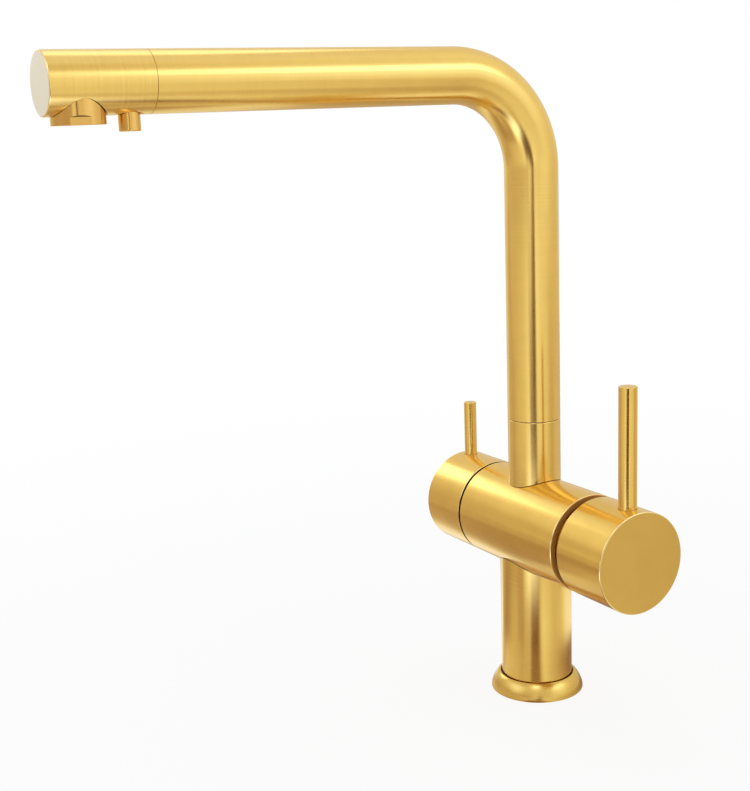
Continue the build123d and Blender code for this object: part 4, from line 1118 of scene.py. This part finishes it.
# Brightness round the light tent, as (azimuth, near the floor, at the spout's height, high up,
# roof). The tent opens for the camera between 51 and 64.
TENT_WALL = ((-180, 0.82, 0.9, 1.0, 1.05), (-125, 0.8, 0.82, 0.85, 0.9),
             (-98, 0.9, 0.92, 0.95, 0.8), (-78, 0.8, 0.95, 1.25, 0.75),
             (-60, 0.62, 0.78, 0.94, 0.8), (-45, 0.84, 0.75, 1.1, 0.95),
             (-25, 0.86, 0.6, 1.35, 0.9), (-12, 0.88, 0.6, 1.65, 0.9), (3, 0.93, 0.6, 1.5, 0.9),
             (18, 1.05, 0.58, 1.0, 0.9), (31, 1.2, 0.62, 0.9, 0.9), (40, 1.2, 0.62, 1.0, 2.2),
             (46, 1.2, 1.15, 1.0, 2.6), (49, 1.2, 1.15, 1.0, 2.6), (51, 0.2, 1.15, 1.0, 2.6),
             (56, 0.2, 1.1, 1.0, 2.6), (58, 0.2, 0.15, 1.0, 2.6), (62, 0.2, 0.15, 1.0, 2.2),
             (64, 0.2, 0.9, 0.95, 0.9), (67, 1.5, 0.95, 0.95, 0.7), (82, 1.2, 0.92, 0.95, 0.7),
             (96, 1.03, 1.08, 1.12, 0.8), (108, 0.95, 1.12, 1.32, 0.9),
             (122, 0.9, 1.12, 1.5, 1.05), (145, 0.86, 0.95, 1.2, 1.05),
             (165, 0.82, 0.9, 1.0, 1.1), (180, 0.82, 0.9, 1.0, 1.05))
# Brightness of the tent's floor, as (azimuth, under the handles, beside the tap, within the
# spout's reach, further out).
TENT_FLOOR = ((-180, 0.35, 1.2, 0.8, 0.8), (-155, 0.35, 1.0, 0.7, 0.7),
              (-140, 0.35, 0.6, 0.6, 0.6), (-108, 0.4, 0.5, 0.6, 0.6),
              (-98, 0.9, 1.2, 1.0, 1.0), (-84, 1.15, 1.2, 1.0, 0.85),
              (-72, 0.79, 0.63, 0.7, 0.68), (-60, 0.74, 0.52, 0.58, 0.7),
              (-46, 0.9, 0.5, 0.5, 0.64), (-24, 0.85, 0.75, 0.55, 0.8),
              (-11, 0.8, 0.78, 0.55, 0.88), (0, 0.8, 0.62, 0.55, 0.9),
              (11, 0.7, 0.56, 0.6, 0.95), (22, 0.75, 0.72, 1.4, 1.0), (34, 0.75, 0.72, 2.2, 1.1),
              (42, 0.36, 0.2, 2.2, 0.08), (56, 0.36, 0.18, 1.8, 0.08), (62, 0.5, 0.4, 1.2, 0.08),
              (66, 0.8, 0.9, 0.8, 0.9), (74, 1.0, 1.1, 0.8, 1.1), (90, 0.85, 1.0, 0.85, 0.98),
              (110, 0.7, 0.84, 0.76, 0.98), (135, 0.5, 0.95, 0.62, 0.65),
              (160, 0.35, 1.25, 0.8, 0.8), (180, 0.35, 1.2, 0.8, 0.8))


def tent_level(table, azimuth, share):
    """Brightness at an azimuth; share runs from 0, the table's first column, upwards."""
    stops = [row[0] for row in table]
    columns = [np.interp(azimuth, stops, [row[k] for row in table])
               for k in range(1, len(table[0]))]
    return np.interp(share, range(len(columns)), columns)


def tent_glow(level):
    """Colour of the tent's cloth at a brightness: warm where dim, cool where bright."""
    steps = (0.3, 0.35, 0.65, 0.9, 1.05, 1.6)
    green = np.interp(level, steps, (0.34, 0.64, 0.84, 0.93, 1.0, 1.12))
    blue = np.interp(level, steps, (0.12, 0.44, 0.62, 0.73, 0.87, 1.4))
    return (level, level * green, level * blue, 1.0)


def tent_cloth(name, rows, table):
    """Cloth of the tent, seen only in reflections; rows are (distance, height, share)."""
    azimuths = range(-180, 181, 2)
    verts, glow = [], []
    for distance, height, share in rows:
        for azimuth in azimuths:
            verts.append(round_the_set(azimuth, distance, height))
            glow.extend(tent_glow(tent_level(table, azimuth, share)))
    count = len(azimuths)
    faces = [(row * count + k, row * count + k + 1, (row + 1) * count + k + 1,
              (row + 1) * count + k) for row in range(len(rows) - 1) for k in range(count - 1)]
    mesh = bpy.data.meshes.new(name)
    mesh.from_pydata(verts, [], faces)
    mesh.attributes.new("glow", "FLOAT_COLOR", "POINT").data.foreach_set("color", glow)
    cloth = finish_mesh(name, mesh)
    material, graph, shader = new_material(name)
    graph.tree.nodes.remove(shader)
    colour = graph.add("ShaderNodeAttribute")
    colour.attribute_name = "glow"
    emission = graph.add("ShaderNodeEmission", {"Color": colour.outputs["Color"]})
    graph.fill(graph.output, {"Surface": emission.outputs["Emission"]})
    mesh.materials.append(material)
    cloth.visible_camera = False
    cloth.visible_diffuse = False
    cloth.visible_shadow = False


def soft_lamp(name, place, target, width, height, level):
    """Rectangular lamp aimed at a spot; level is the brightness of its face."""
    data = bpy.data.lights.new(name, "AREA")
    data.shape = "RECTANGLE"
    data.size, data.size_y = width, height
    data.energy = level * math.pi * width * height
    data.color = (0.9, 0.98, 1.15)
    light = bpy.data.objects.new(name, data)
    light.location = place
    light.rotation_mode = "QUATERNION"
    light.rotation_quaternion = (Vector(target) - Vector(place)).to_track_quat("-Z", "Y")
    light.visible_camera = False
    bpy.context.scene.collection.objects.link(light)


class TAP_OT_stage(bpy.types.Operator):
    """Sets the floor, world, lamps, light tent and the camera at the photograph's angle."""

    bl_idname = "tap.stage"
    bl_label = "Stage"

    def execute(self, context):
        scene = context.scene
        scene.view_settings.view_transform = "Standard"
        self.floor(scene.tap_stage)
        self.world(scene)
        self.lights(scene.tap_stage.lamp_level)
        self.camera(scene)
        return {"FINISHED"}

    def floor(self, stage):
        mesh = bpy.data.meshes.new("floor")
        mesh.from_pydata([(-8, -8, 0), (8, -8, 0), (8, 8, 0), (-8, 8, 0)], [], [(0, 1, 2, 3)])
        floor = finish_mesh("floor", mesh)
        material, graph, shader = new_material("floor")
        graph.fill(shader, {"Base Color": (*stage.floor_colour, 1), "Roughness": 0.9,
                            "Specular IOR Level": 0.0})
        white = graph.add("ShaderNodeEmission", {"Color": (1, 1, 1, 1)})
        paler = graph.spread(graph.length(graph.placed()), stage.floor_whiteness, 1.0, 0.15, 0.8)
        mixed = graph.add("ShaderNodeMixShader", {
            "Fac": graph.math("MULTIPLY", graph.seen_directly(), paler),
            1: shader.outputs["BSDF"], 2: white.outputs["Emission"]})
        graph.fill(graph.output, {"Surface": mixed.outputs["Shader"]})
        mesh.materials.append(material)
        floor.location.z = -0.1 * MM

    def world(self, scene):
        world = bpy.data.worlds.new("studio")
        scene.world = world
        world.use_nodes = True
        world.node_tree.nodes.clear()
        graph = Graph(world.node_tree)
        background = graph.add("ShaderNodeBackground", {
            "Color": (1, 1, 1, 1), "Strength": graph.spread(graph.seen_directly(), 0.75, 1.0)})
        graph.add("ShaderNodeOutputWorld", {"Surface": background.outputs["Background"]})

    def lights(self, level):
        soft_lamp("left_lamp", round_the_set(-77, 1.0, 0.61), (0, 0, BARREL_HEIGHT),
                  0.38, 0.35, level * 0.85)
        soft_lamp("right_lamp", round_the_set(121, 1.05, 0.9), (0, -0.12, SPOUT_HEIGHT),
                  0.8, 0.35, level * 0.5)
        soft_lamp("top_lamp", (-0.52, 0.08, 1.22), (0, -0.22, SPOUT_HEIGHT),
                  0.6, 0.5, level * 0.5)
        wall, low = 1.3, 0.2 * MM
        tent_cloth("tent_wall", ((wall, 0.0, 0.0), (wall, 0.12, 0.0), (wall, 0.22, 1.0),
                                 (wall, 0.34, 1.0), (wall, 0.55, 1.7), (wall, 0.8, 2.0),
                                 (wall, 1.1, 2.0), (1.0, 1.4, 3.0), (0.6, 1.6, 3.0)), TENT_WALL)
        tent_cloth("tent_floor", ((0.025, low, 0.0), (0.075, low, 0.0), (0.1, low, 1.0),
                                  (0.155, low, 1.0), (0.27, low, 2.0), (0.37, low, 2.0),
                                  (0.45, low, 3.0), (wall, low, 3.0)), TENT_FLOOR)

    def camera(self, scene):
        data = bpy.data.cameras.new("camera")
        data.lens = scene.tap_stage.focal_length
        data.sensor_width = 36.0
        data.clip_start, data.clip_end = 0.05, 20.0
        eye = bpy.data.objects.new("camera", data)
        right = Vector((0.4977456, 0.8665965, -0.0354933))
        up = Vector((-0.1586967, 0.1312297, 0.9785674))
        back = Vector((0.8526809, -0.4814450, 0.2028450))
        turn = Matrix((right, up, back)).transposed()
        eye.matrix_world = Matrix.Translation((0.5679402, -0.4180216, 0.3129252)) @ turn.to_4x4()
        scene.collection.objects.link(eye)
        scene.camera = eye


class TAP_PT_panel(bpy.types.Panel):
    """Lists the sizes, the finish, the stage and the steps that build the tap."""

    bl_idname = "TAP_PT_panel"
    bl_label = "Filtered Water Tap"
    bl_space_type = "VIEW_3D"
    bl_region_type = "UI"
    bl_category = "Tap"

    def draw(self, context):
        layout = self.layout
        for settings in (context.scene.tap_sizes, context.scene.tap_finish,
                         context.scene.tap_stage):
            box = layout.box()
            for name in settings.__annotations__:
                box.prop(settings, name)
        for step in STEPS:
            layout.operator(step.bl_idname)


STEPS = (TAP_OT_base, TAP_OT_body, TAP_OT_spout, TAP_OT_outlets, TAP_OT_mixer_handle,
         TAP_OT_filter_handle, TAP_OT_inner_pieces, TAP_OT_stage)
CLASSES = (TapSizes, TapFinish, TapStage, *STEPS, TAP_PT_panel)


def register():
    """Registers the classes and hangs the settings on the scene."""
    for cls in CLASSES:
        bpy.utils.register_class(cls)
    bpy.types.Scene.tap_sizes = PointerProperty(type=TapSizes)
    bpy.types.Scene.tap_finish = PointerProperty(type=TapFinish)
    bpy.types.Scene.tap_stage = PointerProperty(type=TapStage)


def unregister():
    """Takes the settings and classes away again."""
    del bpy.types.Scene.tap_stage
    del bpy.types.Scene.tap_finish
    del bpy.types.Scene.tap_sizes
    for cls in reversed(CLASSES):
        bpy.utils.unregister_class(cls)


def main():
    """Registers the add-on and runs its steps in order."""
    register()
    bpy.ops.tap.base()
    bpy.ops.tap.body()
    bpy.ops.tap.spout()
    bpy.ops.tap.outlets()
    bpy.ops.tap.mixer_handle()
    bpy.ops.tap.filter_handle()
    bpy.ops.tap.inner_pieces()
    bpy.ops.tap.stage()
    bpy.context.view_layer.update()


if __name__ == "__main__":
    main()
